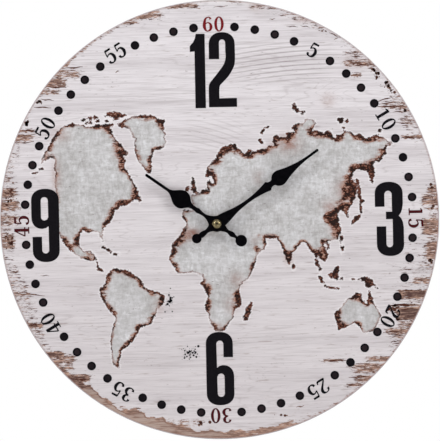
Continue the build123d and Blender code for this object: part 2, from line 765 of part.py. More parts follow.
def dial_board():
    body = disc(BOARD_DIAMETER / 2, board_rear, board_front, board_centre)
    edge_round = min(BOARD_EDGE_ROUND, BOARD_THICKNESS / 3)
    body = fillet(body.edges(), edge_round)
    return body - disc(BUSH_RADIUS + THROUGH_CLEARANCE, board_rear, board_front)


def dial_print():
    body = disc(BOARD_DIAMETER / 2 - BOARD_EDGE_ROUND, board_front, print_front, board_centre)
    return body - disc(BUSH_RADIUS + THROUGH_CLEARANCE, board_front, print_front)


# Hands, drawn along X from the arbor and mirrored about their centre line

def mirrored_face(upper, ends):
    """Face between an upper outline, its mirror image below X and the edges that close its ends."""
    edges = list(upper) + [mirror(edge, about=Plane.XZ) for edge in upper]
    return make_face(edges + ends)


def tip_arc(reach, half_width):
    """Half-round tip of a hand."""
    shoulder = reach - half_width
    return ThreePointArc((shoulder, half_width), (reach, 0), (shoulder, -half_width))


def across(point):
    """Line from a point above X to its mirror image below."""
    return Line(point, (point[0], -point[1]))


def hour_hand_outline():
    root = step(hand_axis, HAND_HUB_RADIUS, 45)
    shoulder = (17.8, 2.2)
    neck_end = (24.0, 1.85)
    point_start = (47.0, HOUR_TIP_HALF_WIDTH)
    tip = (HOUR_HAND_REACH - HOUR_TIP_HALF_WIDTH, HOUR_TIP_HALF_WIDTH)
    blade = [
        Spline(root, (6.2, 3.1), (8.5, 1.95), (12.8, 1.18), (15.5, 1.5), shoulder),
        ThreePointArc(shoulder, (20.9, 1.55), neck_end),
        Spline(neck_end, (27.1, 3.85), (29.2, 5.85), (33.4, 7.1), (37.2, 6.05), (41.0, 3.25), point_start),
        Line(point_start, tip),
    ]
    face = mirrored_face(blade, [tip_arc(HOUR_HAND_REACH, HOUR_TIP_HALF_WIDTH), across(root)])
    tail_root = step(hand_axis, HAND_HUB_RADIUS, 150)
    tail_end = (HOUR_TAIL_DISC_RADIUS - HOUR_TAIL_DISC_REACH - HAND_TAIL_LAP, 1.3)
    tail = [Spline(tail_root, (-7.7, 2.05), (-10.6, 1.3), (-14.2, 2.05), (-17.4, 1.15), tail_end)]
    face += mirrored_face(tail, [across(tail_root), across(tail_end)])
    face += Pos(-HOUR_TAIL_DISC_REACH, 0) * Circle(HOUR_TAIL_DISC_RADIUS)
    return face + Circle(HAND_HUB_RADIUS)


def minute_hand_outline():
    root = step(hand_axis, HAND_HUB_RADIUS, 52)
    shoulder = (49.2, 3.95)
    neck_end = (54.0, 2.55)
    point_start = (86.0, MINUTE_TIP_HALF_WIDTH)
    tip = (MINUTE_HAND_REACH - MINUTE_TIP_HALF_WIDTH, MINUTE_TIP_HALF_WIDTH)
    blade = [
        Spline(root, (9.7, 4.06), (16.6, 2.55), (23.6, 1.68), (30.6, 1.43), (39.8, 2.09), shoulder),
        ThreePointArc(shoulder, (52.3, 2.2), neck_end),
        Spline(neck_end, (56.3, 4.95), (59.6, 6.03), (64.2, 4.95), (71.2, 2.98), (78.1, 1.74), point_start),
        Line(point_start, tip),
    ]
    face = mirrored_face(blade, [tip_arc(MINUTE_HAND_REACH, MINUTE_TIP_HALF_WIDTH), across(root)])
    tail_root = step(hand_axis, HAND_HUB_RADIUS, 150)
    tail_end = (MINUTE_TAIL_DISC_RADIUS - MINUTE_TAIL_DISC_REACH - HAND_TAIL_LAP, 1.7)
    tail = [Spline(tail_root, (-7.4, 2.1), (-9.4, 1.6), (-12.6, 2.1), tail_end)]
    face += mirrored_face(tail, [across(tail_root), across(tail_end)])
    face += Pos(-MINUTE_TAIL_DISC_REACH, 0) * Circle(MINUTE_TAIL_DISC_RADIUS)
    return face + Circle(HAND_HUB_RADIUS)


def hour_hand():
    bore = HOUR_TUBE_RADIUS + FIT_CLEARANCE
    plate = Rot(0, 0, 90 - HOUR_HAND_ANGLE) * hour_hand_outline()
    body = slab(plate, hour_hand_rear, hour_hand_front)
    body += disc(bore + HOUR_HAND_COLLAR_WALL, hour_hand_rear - HOUR_HAND_COLLAR_HEIGHT, hour_hand_rear)
    return body - disc(bore, bush_front, tube_front)


def minute_hand():
    plate = Rot(0, 0, 90 - MINUTE_HAND_ANGLE) * minute_hand_outline()
    body = slab(plate, minute_hand_rear, minute_hand_front)
    return body - slab(stud_profile(FIT_CLEARANCE), minute_hand_rear, minute_hand_front)


def minute_cap_nut():
    skirt = (CAP_NUT_RADIUS, 0, CAP_NUT_SKIRT)
    crown = (0, 0, CAP_NUT_HEIGHT)
    rise = CAP_NUT_HEIGHT - CAP_NUT_SKIRT
    dome_radius = (CAP_NUT_RADIUS ** 2 + rise ** 2) / (2 * rise)
    middle = (dome_radius * sin(radians(30)), 0, CAP_NUT_HEIGHT - dome_radius * (1 - cos(radians(30))))
    side = Polyline((0, 0, CAP_NUT_HEIGHT), (0, 0, 0), (CAP_NUT_RADIUS, 0, 0), skirt)
    dome = revolve(make_face([side, ThreePointArc(skirt, middle, crown)]), Axis.Z)
    dome -= disc(STUD_RADIUS + FIT_CLEARANCE, 0, stud_front - minute_hand_front + FIT_CLEARANCE)
    return Pos(0, 0, minute_hand_front) * dome


pieces = {
    "dial_board": dial_board(),
    "dial_print": dial_print(),
    "hour_hand": hour_hand(),
    "minute_hand": minute_hand(),
    "minute_cap_nut": minute_cap_nut(),
    "fixing_nut": fixing_nut(),
    "fixing_washer": fixing_washer(),
    "rubber_washer": rubber_washer(),
    "threaded_bush": threaded_bush(),
    "wall_hanger": wall_hanger(),
    "movement_case": movement_case(),
    "movement_cover": movement_cover(),
    "train_bridge": train_bridge(),
    "setting_knob": setting_knob(),
    "rotor_magnet": rotor_magnet(),
    "rotor_pinion": rotor_pinion(),
    "transmission_wheel": transmission_wheel(),
    "second_wheel": second_wheel(),
    "third_wheel": third_wheel(),
    "centre_wheel": centre_wheel(),
    "minute_arbor": minute_arbor(),
    "motion_wheel": motion_wheel(),
    "hour_wheel": hour_wheel(),
    "stator": stator(),
    "coil_core": coil_core(),
    "coil_bobbin": coil_bobbin(),
    "coil_winding": coil_winding(),
    "coil_pins": coil_pins(),
    "circuit_board": circuit_board(),
    "quartz_crystal": quartz_crystal(),
    "chip_blob": chip_blob(),
    "positive_contact": positive_contact(),
    "negative_contact": negative_contact(),
    "cell_can": cell_can(),
    "cell_sleeve": cell_sleeve(),
}

wall_frame = Plane(origin=(0, 0, 0), x_dir=(1, 0, 0), z_dir=(0, -1, 0)).location
os.makedirs("parts", exist_ok=True)
for name, shape in pieces.items():
    export_step(wall_frame * shape, f"parts/{name}.step")
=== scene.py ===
"""World time clock: finishes, printed face and stage for a round wall clock."""

import json
import math

import bpy
import numpy as np
from mathutils import Euler, Matrix, Vector


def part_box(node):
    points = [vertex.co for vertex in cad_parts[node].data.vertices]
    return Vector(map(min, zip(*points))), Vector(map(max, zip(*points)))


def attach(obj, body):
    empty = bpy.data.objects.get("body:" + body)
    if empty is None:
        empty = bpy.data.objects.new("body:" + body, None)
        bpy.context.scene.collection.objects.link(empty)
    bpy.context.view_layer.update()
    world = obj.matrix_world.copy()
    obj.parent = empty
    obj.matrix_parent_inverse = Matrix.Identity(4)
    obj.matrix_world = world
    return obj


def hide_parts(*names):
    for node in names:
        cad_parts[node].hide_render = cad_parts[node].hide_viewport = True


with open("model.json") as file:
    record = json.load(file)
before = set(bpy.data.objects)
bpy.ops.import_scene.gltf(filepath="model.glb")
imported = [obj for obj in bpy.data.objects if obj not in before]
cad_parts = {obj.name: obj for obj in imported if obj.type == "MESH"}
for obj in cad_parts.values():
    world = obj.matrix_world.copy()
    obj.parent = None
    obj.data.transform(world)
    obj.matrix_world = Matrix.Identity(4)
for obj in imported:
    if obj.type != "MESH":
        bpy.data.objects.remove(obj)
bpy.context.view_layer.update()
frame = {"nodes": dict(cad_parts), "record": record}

bl_info = {
    "name": "World Time Clock",
    "version": (1, 0, 0),
    "blender": (4, 5, 0),
    "location": "3D View > Sidebar > Clock",
    "description": "Dresses a round wall clock with a worn world map face",
    "category": "Object",
}

MM = 0.001
SHEET_LOW, SHEET_HIGH = (np.array(corner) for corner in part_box("dial_print"))
SHEET_RADIUS = float(SHEET_HIGH[0] - SHEET_LOW[0]) / 2
SHEET_CENTRE = (SHEET_LOW + SHEET_HIGH)[[0, 2]] / 2
SHEET_FRONT = float(SHEET_LOW[1])
SHEET_BACK = float(SHEET_HIGH[1])


def linear(red, green, blue):
    """A colour as it is seen on a screen, 0 to 255, turned into linear light."""
    seen = np.array((red, green, blue)) / 255
    light = np.where(seen <= 0.04045, seen / 12.92, ((seen + 0.055) / 1.055) ** 2.4)
    return tuple(float(part) for part in light)


def length(name, description, default):
    """A size in metres that a user may change."""
    return bpy.props.FloatProperty(
        name=name, description=description, default=default, unit="LENGTH", precision=5
    )


def colour(name, description, red, green, blue):
    """A colour that a user may change, given as it is seen on a screen."""
    return bpy.props.FloatVectorProperty(
        name=name, description=description, default=linear(red, green, blue), subtype="COLOR",
        min=0.0, max=1.0,
    )


class ClockFaceSizes(bpy.types.PropertyGroup):
    """Sizes of the printed face."""

    centre_right: length("Print Right", "Print centre to the right of the hand axis", 1.72 * MM)
    centre_up: length("Print Up", "Print centre above the hand axis", 3.05 * MM)
    ray_right: length("Ray Right", "Start of the minute rays, right of the print centre", -1.0 * MM)
    ray_up: length("Ray Up", "Start of the minute rays, above the print centre", -1.0 * MM)
    ring_squeeze: bpy.props.FloatProperty(
        name="Ring Squeeze", description="Share that the minute ring is wider and lower by", default=0.0025
    )
    ring_radius: length("Ring Radius", "Radius of the ring of minute dots", 150.0 * MM)
    figure_radius: length("Figure Radius", "Radius of the ring of minute figures", 151.8 * MM)
    dot_diameter: length("Dot Diameter", "Diameter of a minute dot", 6.75 * MM)
    minute_height: length("Minute Figure Height", "Height of the small figures", 11.4 * MM)
    minute_gap: length("Minute Figure Gap", "Room between the two small figures of a number", 1.7 * MM)
    ink_spread: length("Ink Spread", "How far the ink of the small figures has run", 0.06 * MM)
    hour_spread: length("Hour Ink Spread", "How far the ink of the hour figures has run", 0.2 * MM)
    ink_height: length("Ink Height", "How far the ink stands on the sheet", 0.08 * MM)
    hole_radius: length("Hole Radius", "Radius of the hole for the hand arbor", 4.15 * MM)
    rings: bpy.props.IntProperty(
        name="Sheet Rings", description="Grid steps from the hole to the rim", default=165
    )
    spokes: bpy.props.IntProperty(
        name="Sheet Spokes", description="Grid steps round the sheet", default=592
    )


class ClockColours(bpy.types.PropertyGroup):
    """Colours of the face."""

    paint: colour("Paint", "Whitewashed boards", 218, 213, 216)
    # Painted shade: the whitewash is drawn darker low on the face, where less light falls from above
    paint_low: colour("Paint Low Down", "Whitewash low on the face, a little duller", 206, 200, 202)
    paint_shade: colour("Paint Shade", "Grain in the whitewash", 180, 173, 176)
    land: colour("Land", "Pale zinc of the map", 203, 202, 204)
    # Painted shade: the zinc is drawn darker low on the map, where less light falls from above, as the
    # whitewash is
    land_low: colour("Land Low Down", "Zinc low on the map, a little duller", 194, 192, 194)
    land_shade: colour("Land Shade", "Dull crystals of the map's zinc", 162, 159, 158)
    rust: colour("Rust", "Rust along the coasts", 115, 64, 46)
    rust_shade: colour("Rust Shade", "Deep rust along the coasts", 30, 11, 6)
    # Also drawn as a thin line of painted shade along the very rim
    stain: colour("Stain", "Soft stain round the rust", 146, 110, 99)
    wood: colour("Bare Wood", "Wood where the paint has worn away", 178, 142, 123)
    wood_shade: colour("Bare Wood Shade", "Dark streaks in the bare wood", 66, 31, 20)
    ink: colour("Black Ink", "Hour figures, dots and most minute figures", 15, 13, 17)
    red_ink: colour("Red Ink", "Quarter figures", 61, 18, 23)
    red_ink_high: colour("Red Ink High Up", "Quarter figure at the top of the face", 110, 27, 32)


class ClockStage(bpy.types.PropertyGroup):
    """Camera, light and floor."""

    distance: length("Camera Distance", "From the camera to the face", 2.2)
    view_width: length("View Width", "Width of the picture at the face", 340.3 * MM)
    aim_right: length("Aim Right", "Middle of the picture, right of the hand axis", 2.5 * MM)
    aim_up: length("Aim Up", "Middle of the picture, above the hand axis", 2.51 * MM)
    roll: bpy.props.FloatProperty(
        name="Roll", description="How far the clock hangs turned against the clock",
        default=math.radians(1.1), subtype="ANGLE",
    )
    ambient: bpy.props.FloatProperty(name="Ambient", description="Strength of the white room", default=0.85)
    ambient_front: bpy.props.FloatProperty(
        name="Ambient in Front", description="Strength straight in front of the face", default=0.12
    )
    lamp_power: bpy.props.FloatProperty(
        name="Lamp Power", description="Power that each lamp gives a share of", default=9.0, subtype="POWER"
    )
    floor_drop: length("Floor Drop", "How far the floor lies below the hand axis", 0.42)


# Map of the world, in millimetres from the middle of the print

NORTH_AMERICA = [
    (-105, 75), (-109.4, 75.6), (-112.2, 76.9), (-115, 75.9), (-118.8, 74.4), (-123.8, 70), (-127, 65),
    (-130, 60), (-133, 55), (-136, 50), (-136.5, 46), (-134, 49), (-130, 50.5), (-127, 50), (-125.6, 48),
    (-126.3, 43), (-125.6, 38), (-126, 30), (-125.5, 26), (-124.5, 10), (-123.9, -8), (-121.4, -12),
    (-120.7, -15.1), (-118.2, -18.3), (-115.4, -20.8), (-112, -23.9), (-108.2, -26.4), (-103.9, -28.3),
    (-100.1, -29.7), (-96, -29.1), (-96, -27.3), (-97.1, -25.3), (-100.6, -22.3), (-105.1, -22.8),
    (-108.9, -18.3), (-108.5, -12), (-107.3, -8.2), (-105.7, -5.7), (-103.2, -6.7), (-100.7, -8.2),
    (-98.9, -7), (-94.4, -7.6), (-92.5, -8.7), (-91.6, -11.7), (-90, -15.6), (-90.3, -9.6), (-89.4, -4.6),
    (-86.9, -1.7), (-84.1, 0.4), (-81.9, 5.6), (-80.6, 9.4), (-77.5, 9.4), (-76.3, 13.1), (-71.9, 12.5),
    (-68.8, 14.1), (-66.9, 15.9), (-63.8, 17.5), (-60.3, 16.3), (-61.3, 19.4), (-62.5, 21.3), (-63.1, 26.3),
    (-65, 28.4), (-66.9, 31.3), (-68.4, 35), (-70, 38.8), (-72.5, 41), (-72.5, 45), (-71.3, 47), (-73, 49),
    (-73.8, 52.8), (-70.9, 50.6), (-69.4, 53), (-73.4, 56.5), (-75, 60), (-78, 63), (-81.3, 67), (-82, 71.5),
    (-86, 74.5), (-92, 75.5), (-97, 74), (-100, 73),
]

GREENLAND = [
    (-76.6, 75.4), (-73.2, 76.7), (-71.2, 78.7), (-67.6, 80.1), (-62, 81.4), (-59.4, 82.1), (-56.6, 81.4),
    (-50.8, 81.7), (-48, 80.4), (-45.8, 78.7), (-39.8, 77.8), (-41.8, 74.7), (-41.1, 71.4), (-41.8, 69.7),
    (-40.4, 67.4), (-40.8, 64.1), (-39.8, 60.7), (-41.8, 56.7), (-46.4, 55), (-49.8, 54.4), (-50.4, 52.1),
    (-52.1, 46.7), (-51.6, 40.1), (-52.8, 36.9), (-56, 39.4), (-60.3, 45.4), (-62.8, 50.1), (-63.8, 56.7),
    (-64.5, 61.4), (-62.5, 64.1), (-65.5, 65.1), (-66.2, 69.4), (-67.8, 71.7), (-70.5, 72.7), (-75.2, 73.4),
]

SOUTH_AMERICA = [
    (-82, -36), (-77, -37), (-71, -38), (-68, -40.5), (-66, -43), (-63, -44), (-61, -46), (-59.5, -49.5),
    (-58, -51.8), (-55, -53.5), (-51, -55), (-48, -55), (-45.5, -57), (-43, -58.5), (-43, -60.5),
    (-44.5, -64), (-47.5, -66.5), (-49.5, -69), (-51.5, -74.5), (-53, -77), (-55, -79.8), (-59, -80.8),
    (-62, -82), (-64, -85.5), (-68, -91.5), (-72, -95.5), (-77, -99.5), (-78.5, -104.5), (-80, -109),
    (-79, -112.5), (-82, -111.5), (-84, -109.5), (-85, -100), (-85.5, -92), (-84.5, -87), (-82.5, -78.5),
    (-81, -76), (-82, -73), (-83.5, -70.5), (-86.5, -68), (-88.5, -64.5), (-92, -58), (-93, -55),
    (-93, -52.5), (-91, -50), (-88.5, -47.5), (-88, -44.5), (-87, -41), (-85.5, -39),
]

AFRICA = [
    (-25, -1.7), (-25, -4.2), (-27.5, -7), (-29.2, -10), (-32.9, -14.2), (-36.7, -19.2), (-37.1, -24.2),
    (-38.8, -30), (-35.8, -35), (-32.5, -40.4), (-28.3, -40.4), (-21.7, -39.6), (-17.5, -40.8),
    (-13.3, -42.5), (-12.9, -46.7), (-15, -48.8), (-12.1, -52.5), (-10, -57.5), (-9.6, -60.8), (-11.7, -65),
    (-11.7, -68.3), (-9.6, -71.7), (-8.8, -76.7), (-7.1, -80), (-4.2, -86), (2, -85.5), (4.2, -83.3),
    (6.3, -79.2), (9.2, -75.8), (10.4, -69.6), (14.2, -67.5), (15.8, -65), (15.7, -60.8), (14.6, -57.5),
    (14.2, -54.2), (15, -51.3), (18.3, -47.9), (22.5, -44.6), (25, -39.2), (27.1, -34.2), (28.3, -28.3),
    (30.4, -25.8), (33.8, -23.8), (36.5, -19.5), (35.5, -14.5), (39.5, -15),
]

SOUTH_ASIA = [
    (44.5, -15), (47.7, -20), (49.5, -23.6), (50.5, -28.2), (52.3, -33.6), (53.8, -35.9), (55, -31.8),
    (55.9, -26.8), (59.1, -23.6), (61.8, -20), (64.5, -18.2), (67.3, -19.5), (69.5, -24.5), (73, -27),
    (74.5, -33.6), (75.5, -36.4), (78.2, -41.8), (77.3, -38), (75, -32), (75.5, -28.5), (79, -32),
    (80.9, -33.6), (82.5, -31), (83.6, -28.5), (82, -25), (80.3, -22), (80.5, -18.5), (83.6, -18.2),
    (87.3, -17.3), (90.9, -16.8), (93.2, -12.7), (94.1, -9.1), (92.7, -3.6), (92.3, 0), (91, 3.6), (95, 6),
    (97, 4.5), (98.5, 1.5), (100, -0.3), (99.3, 3.5), (100.2, 7), (102.7, 10.5), (105.5, 15.5), (106.8, 20),
    (107, 25.6), (105.6, 27.5), (102.5, 28.8),
]

NORTH_ASIA = [
    (103.4, 30.6), (104.7, 35), (107.5, 37.2), (112.5, 36.9), (115, 35.6), (116.6, 33.8), (117.8, 28.8),
    (119.4, 26.3), (120.6, 32.5), (121.3, 35.6), (120, 41.3), (122.5, 43.5), (124.7, 42.2), (126.3, 45),
    (128.1, 47.5), (130.9, 48.1), (129.4, 51.3), (131, 55), (135.3, 56.3), (132, 58.3), (127.5, 61.3),
    (124.4, 62.8), (120.9, 62.8), (118.8, 61.6), (115, 60.9), (112.8, 61.9), (110.6, 64.1), (105.6, 63.1),
    (103.8, 65.6), (100, 66.6), (97.8, 66.3), (97.2, 63.8), (92.2, 63.8), (91.6, 60.3), (90, 61),
    (87.8, 65.6), (85.9, 67.5), (82.5, 65.6), (78.8, 66.8), (75, 67.4), (73, 66.5), (74, 70), (76, 73),
    (75, 75.5), (69, 77), (66, 73), (63, 73.5), (61, 73), (58, 70), (61, 66.5), (56, 66.3), (53, 65.8),
    (54, 61), (52.5, 62.5), (48, 62.5), (46, 64.5), (44, 64), (42.5, 60), (44, 56.5), (40, 56), (36, 53.5),
]

EUROPE = [
    (34.5, 54.1), (30, 52.8), (27.5, 51.9), (25, 50.2), (25.6, 53.1), (24, 53.4), (22.2, 51.2), (20.3, 50.3),
    (18.1, 53.1), (15, 55.6), (14, 58.1), (10.6, 58.1), (8.1, 56.6), (5, 56.6), (2.5, 55), (1.3, 53.1),
    (-0.6, 50), (-1.9, 46.3), (-5, 43.8), (-8.1, 40.6), (-9.1, 37.5), (-9.4, 33.8), (-7.5, 33.4), (-5.6, 35),
    (-4.4, 33), (-3.1, 28.8), (-5.5, 27), (-6.5, 31), (-8.1, 30), (-8.3, 26.3), (-7.5, 22.5), (-9.4, 23.8),
    (-12.5, 22.5), (-14.5, 20), (-20.9, 19.4), (-20.9, 15), (-19.5, 11), (-20.4, 7.1), (-27.9, 8.3),
    (-27.9, 2.1),
]

AUSTRALIA = [
    (103, -60.5), (105, -58.5), (109, -59.3), (108.5, -62), (110, -64.5), (112, -67), (113.5, -67.5),
    (114, -65), (114.3, -62), (115, -57), (116, -60), (117.5, -63), (118, -66), (119.5, -68.5), (121, -71),
    (122.5, -74), (123.3, -76.5), (122.5, -79.5), (121, -83), (119, -85.5), (118, -88), (115.5, -88),
    (112, -89), (110, -88.5), (107, -84.5), (103.5, -81.5), (100.5, -82.5), (97, -84.5), (91, -86.7),
    (90, -83), (89, -79), (88, -75.5), (88.5, -73), (91, -72), (93, -70), (95, -68.5), (95.5, -66.5),
    (98, -64), (99.5, -61.8), (101, -63), (103, -62),
]

ELLESMERE = [(-86, 84.2), (-79, 84.7), (-70, 82.4), (-74, 80.6), (-80, 78.3), (-79, 80.5), (-83, 82)]
BRITAIN = [
    (-19.7, 33.1), (-18.4, 30), (-18.1, 25.6), (-16.9, 22.5), (-14, 20), (-18.1, 21), (-20.9, 23.1),
    (-20, 26.3), (-20.6, 30),
]
IRELAND = [(-25.6, 25), (-22.5, 26.6), (-23.4, 22.5), (-25, 22.8)]
MADAGASCAR = [
    (23.8, -64.2), (24.4, -66.3), (22.9, -70.8), (20.4, -77.5), (17.5, -77.7), (17.5, -74.6), (19.2, -71.7),
    (20.4, -67.1),
]
SUMATRA = [(76, -45), (78.5, -46.5), (80.5, -50), (79, -51), (77, -48.5)]
BORNEO = [
    (92, -38), (92.3, -41), (91, -44), (91, -47), (90, -49), (88.5, -46.5), (86, -46.8), (84.5, -46),
    (83.5, -43.5), (87, -42.5), (88.5, -40.5), (90.5, -38),
]
NEW_GUINEA = [
    (106.5, -47.8), (110, -47.5), (111, -46.3), (114, -47.3), (117, -48.5), (118.5, -51), (120, -54),
    (121.5, -55.5), (119, -53.5), (117.5, -52.5), (115.5, -54.8), (114, -54.5), (112, -53.5), (112.3, -51.5),
    (111, -49.5), (108.5, -48.5),
]
JAPAN = [
    (110, 3), (108, 1.5), (105, 0), (103, -2.5), (102.3, -6), (104, -4), (106.5, -2.5), (109.7, 0),
]

LANDS = [
    NORTH_AMERICA, GREENLAND, SOUTH_AMERICA, AFRICA + SOUTH_ASIA + NORTH_ASIA + EUROPE, AUSTRALIA,
    ELLESMERE, BRITAIN, IRELAND, MADAGASCAR, SUMATRA, BORNEO, NEW_GUINEA, JAPAN,
]

# Thin islands: half width, then the points along each
ISLAND_CHAINS = [
    (0.4, [(40, 71.3), (37.5, 70.5), (35.5, 68.5), (34, 66)]),
    (0.15, [(-95.4, -28.6), (-94.5, -33), (-94.4, -36)]),
    (0.5, [(-94.4, -36), (-90.6, -37.8)]),
    (0.6, [(-90, -19.4), (-86.9, -21.3), (-83.8, -23.4)]),
    (0.5, [(-88.8, 74.7), (-80.6, 75)]),
    (0.45, [(80.5, -18.2), (84.5, -20.5), (83.8, -23)]),
    (0.6, [(74.4, -31), (74.8, -36), (78, -40.4)]),
    (0.7, [(94.3, -14.5), (94.3, -18)]),
    (0.7, [(107.3, 28.5), (108.8, 21.5)]),
    (0.8, [(108.8, 19.5), (109.6, 14.5)]),
    (0.7, [(109.5, 9), (110, 4)]),
    (0.5, [(81, -52.5), (85, -54), (91.5, -55)]),
]

# Small islands: place, half width and half height
ISLETS = [
    (-137, 42, 1.2, 0.8), (-142, 39, 1.2, 0.7), (-103, 79, 1.1, 0.8), (-101, 77, 0.9, 0.8),
    (-98, 81, 1.3, 0.9), (-94, 81, 1.2, 0.9), (-98, 77, 0.9, 0.9), (-92.5, 78, 1.1, 0.9), (-86, 82, 1.1, 0.9),
    (-85, 78, 1.1, 0.8), (-80.3, -25, 1.7, 0.9), (33, 61, 1.0, 1.0), (34.5, 59.3, 0.9, 0.8),
    (60, 86.5, 1.4, 2.1), (62, 83.5, 1.6, 1.4), (66, 81.7, 1.7, 1.2), (95.6, 75, 2.3, 2.1),
    (100.3, 74.4, 1.1, 1.1), (97.8, 69.4, 0.9, 0.9), (125.9, 66.6, 1.1, 1.0), (56.7, -37.5, 1.0, 1.7),
    (95, -24, 1.0, 1.9), (110.8, 12.5, 1.4, 1.4), (-61.2, 17.5, 1.0, 1.8), (94, -47, 1.0, 0.8),
    (103, -48, 1.1, 0.7), (28, -22, 0.9, 1.2), (31, -13.5, 0.9, 1.2),
]

# Heavy rust: place, reach and strength
RUST_PLACES = [
    (-84, 70, 4, 0.8), (-78, 56, 6, 1.0), (-75, 41, 4, 0.7), (-111, -13, 4, 0.9), (-102, -27, 4, 0.45),
    (-116, -19, 4, 0.7), (-80, -38, 4, 0.5), (-70, -40, 5, 0.9), (-60, -48, 4, 0.9), (-52, -55, 4, 0.7),
    (-87, -67, 4, 0.35), (-69, -90, 4, 0.5), (-73, -96, 4, 0.5), (-76, -101, 4, 0.6), (-35, -14, 5, 0.8),
    (-37, -25, 5, 0.8), (-34, -36, 4, 0.7), (-76, 13, 4, 0.8), (-81, 8, 5, 0.9), (-86, 0, 5, 0.9),
    (-104.5, -7, 3, 0.9), (-93, 75, 5, 0.7), (-64, 24, 4, 0.8), (-69, 35, 5, 0.25), (-74, 47, 4, 0.6),
    (-63, 19, 5, 0.9), (-71, 14, 5, 0.8), (-44, 75, 4, 0.8), (-55, 81, 7, 0.6), (-72, 74, 4, 0.2),
    (-47, 55, 4, 0.7), (-53, 48, 3, 0.5), (-54, 40, 4, 0.5), (-64, 65, 4, 0.1), (-62, 51, 5, 0.4),
    (-45, -61, 4, 0.9), (-54, -76, 5, 0.7), (-64, -82.5, 4, 0.8), (-83.5, -69.5, 4, 0.8), (-79, -109, 4, 0.5),
    (-90, -55, 6, 0.7), (-91.5, -37, 3, 0.9), (1, 47, 5, 1.0), (6, 54, 4, 1.0), (13, 54, 5, 1.0),
    (24, 48, 5, 0.8), (45, 60, 4, 1.0), (56, 62, 5, 0.9), (61, 71, 3, 0.6), (71, 67, 4, 0.8),
    (78, 65, 5, 1.0), (86, 65, 4, 0.9), (109, 62, 6, 0.8), (117, 60, 5, 0.7), (123, 61, 4, 0.7),
    (127, 49, 6, 0.9), (106, 38, 6, 1.0), (115, 39, 6, 1.0), (119, 33, 5, 1.1), (99, 21, 8, 1.45),
    (94, 10, 6, 1.0), (86, 1.5, 5, 1.4), (90, -6, 5, 1.0), (89, -12, 3, 0.8), (-124, 70, 5, 0.45),
    (-130, 60, 6, 0.3), (-114, 76, 4, 0.6), (-126, 37, 3, 0.3), (53, -29, 6, 0.5), (78, -28, 6, 0.9),
    (-24, -13, 6, 0.8), (-10, -52, 5, 1.0), (-10, -66, 4, 1.0), (-33, -18, 7, 0.5), (12, -61, 5, 1.1),
    (21, -71, 8, 1.2), (3, -84, 5, 0.3), (-5, -82, 3, 0.6), (26, -36, 5, 0.5), (-18, 27, 5, 1.1),
    (-24, 25, 4, 1.0), (79, -48, 5, 1.2), (89, -44, 7, 1.0), (114, -51, 9, 1.2), (106, -1, 6, 1.0),
    (93, -84, 4, 1.1), (91, -76, 4, 0.8), (105, -60.5, 4, 1.1), (112, -66, 4, 0.5), (116, -62, 4, 0.6),
    (106, -83.5, 4, 0.8), (119, -83, 6, 0.15), (-79, 82, 7, 0.9), (62, 84, 6, 0.8), (96, 75, 4, 0.9),
    (36, 68, 6, 1.0), (109, 20, 9, 1.0), (-86, -21, 6, 0.8), (-124, 20, 8, 0.2), (-130, 53, 8, 0.25),
    (-5, 36, 5, 0.7), (-20, 13, 5, 0.15), (-25, 7.5, 3, 0.3), (-27.5, 0.5, 3, 0.7), (33, 53, 5, 0.7),
    (36, -18, 6, 0.25), (-87, -43, 4, 0.7), (-84, -80, 4, 0.3), (-86, -90, 4, 0.3), (-10, 22.5, 3, 0.8),
    (-4, 31, 4, 0.8), (38, 54, 5, 0.35), (38, -15, 4, 0.8), (43, -16.5, 4, 0.8), (47.5, -21.5, 3, 0.6),
    (60, -21.5, 3, 0.5), (64.5, -18.5, 3, 0.5), (69, -23, 3, 0.6), (52.7, -30.5, 2.5, 0.4),
    (83.5, -1, 5, 1.3), (99, 32, 4, 0.6), (-101.5, -7, 3, 0.7), (94.5, 62, 4, 0.8), (-120, -14, 4, 0.7),
]

# Soft stains: place, half width, half height and strength
SOFT_STAINS = [
    (31, 32, 4, 6, 0.35), (-21, -10.5, 7, 4.5, 1.1), (40, 54, 5, 3, 0.6), (53, -29.5, 2.6, 5, 1.3),
    (13, -47, 6, 6, 0.5), (-3, -82, 4, 3, 0.45), (27, -17, 4, 4, 0.35), (55, 58, 8, 6.5, 0.95),
    (44, 57, 4, 4, 0.6), (68, 153, 7, 1.6, 0.6), (86, 91, 5, 5, 0.45), (86, 9, 6, 5, 0.7),
    (88, -8, 4, 6, 0.5), (98, 21, 8, 9, 0.7), (-76, 54, 5, 6, 0.5), (33, 165, 6, 4, 0.5),
    (-125, 36, 3.2, 12, 0.75), (-121, 68, 7, 6, 0.5), (8, -66, 5, 6, 0.5), (108, 120, 10, 6, 0.3),
    (-48, -66, 4, 6, 0.4),
]

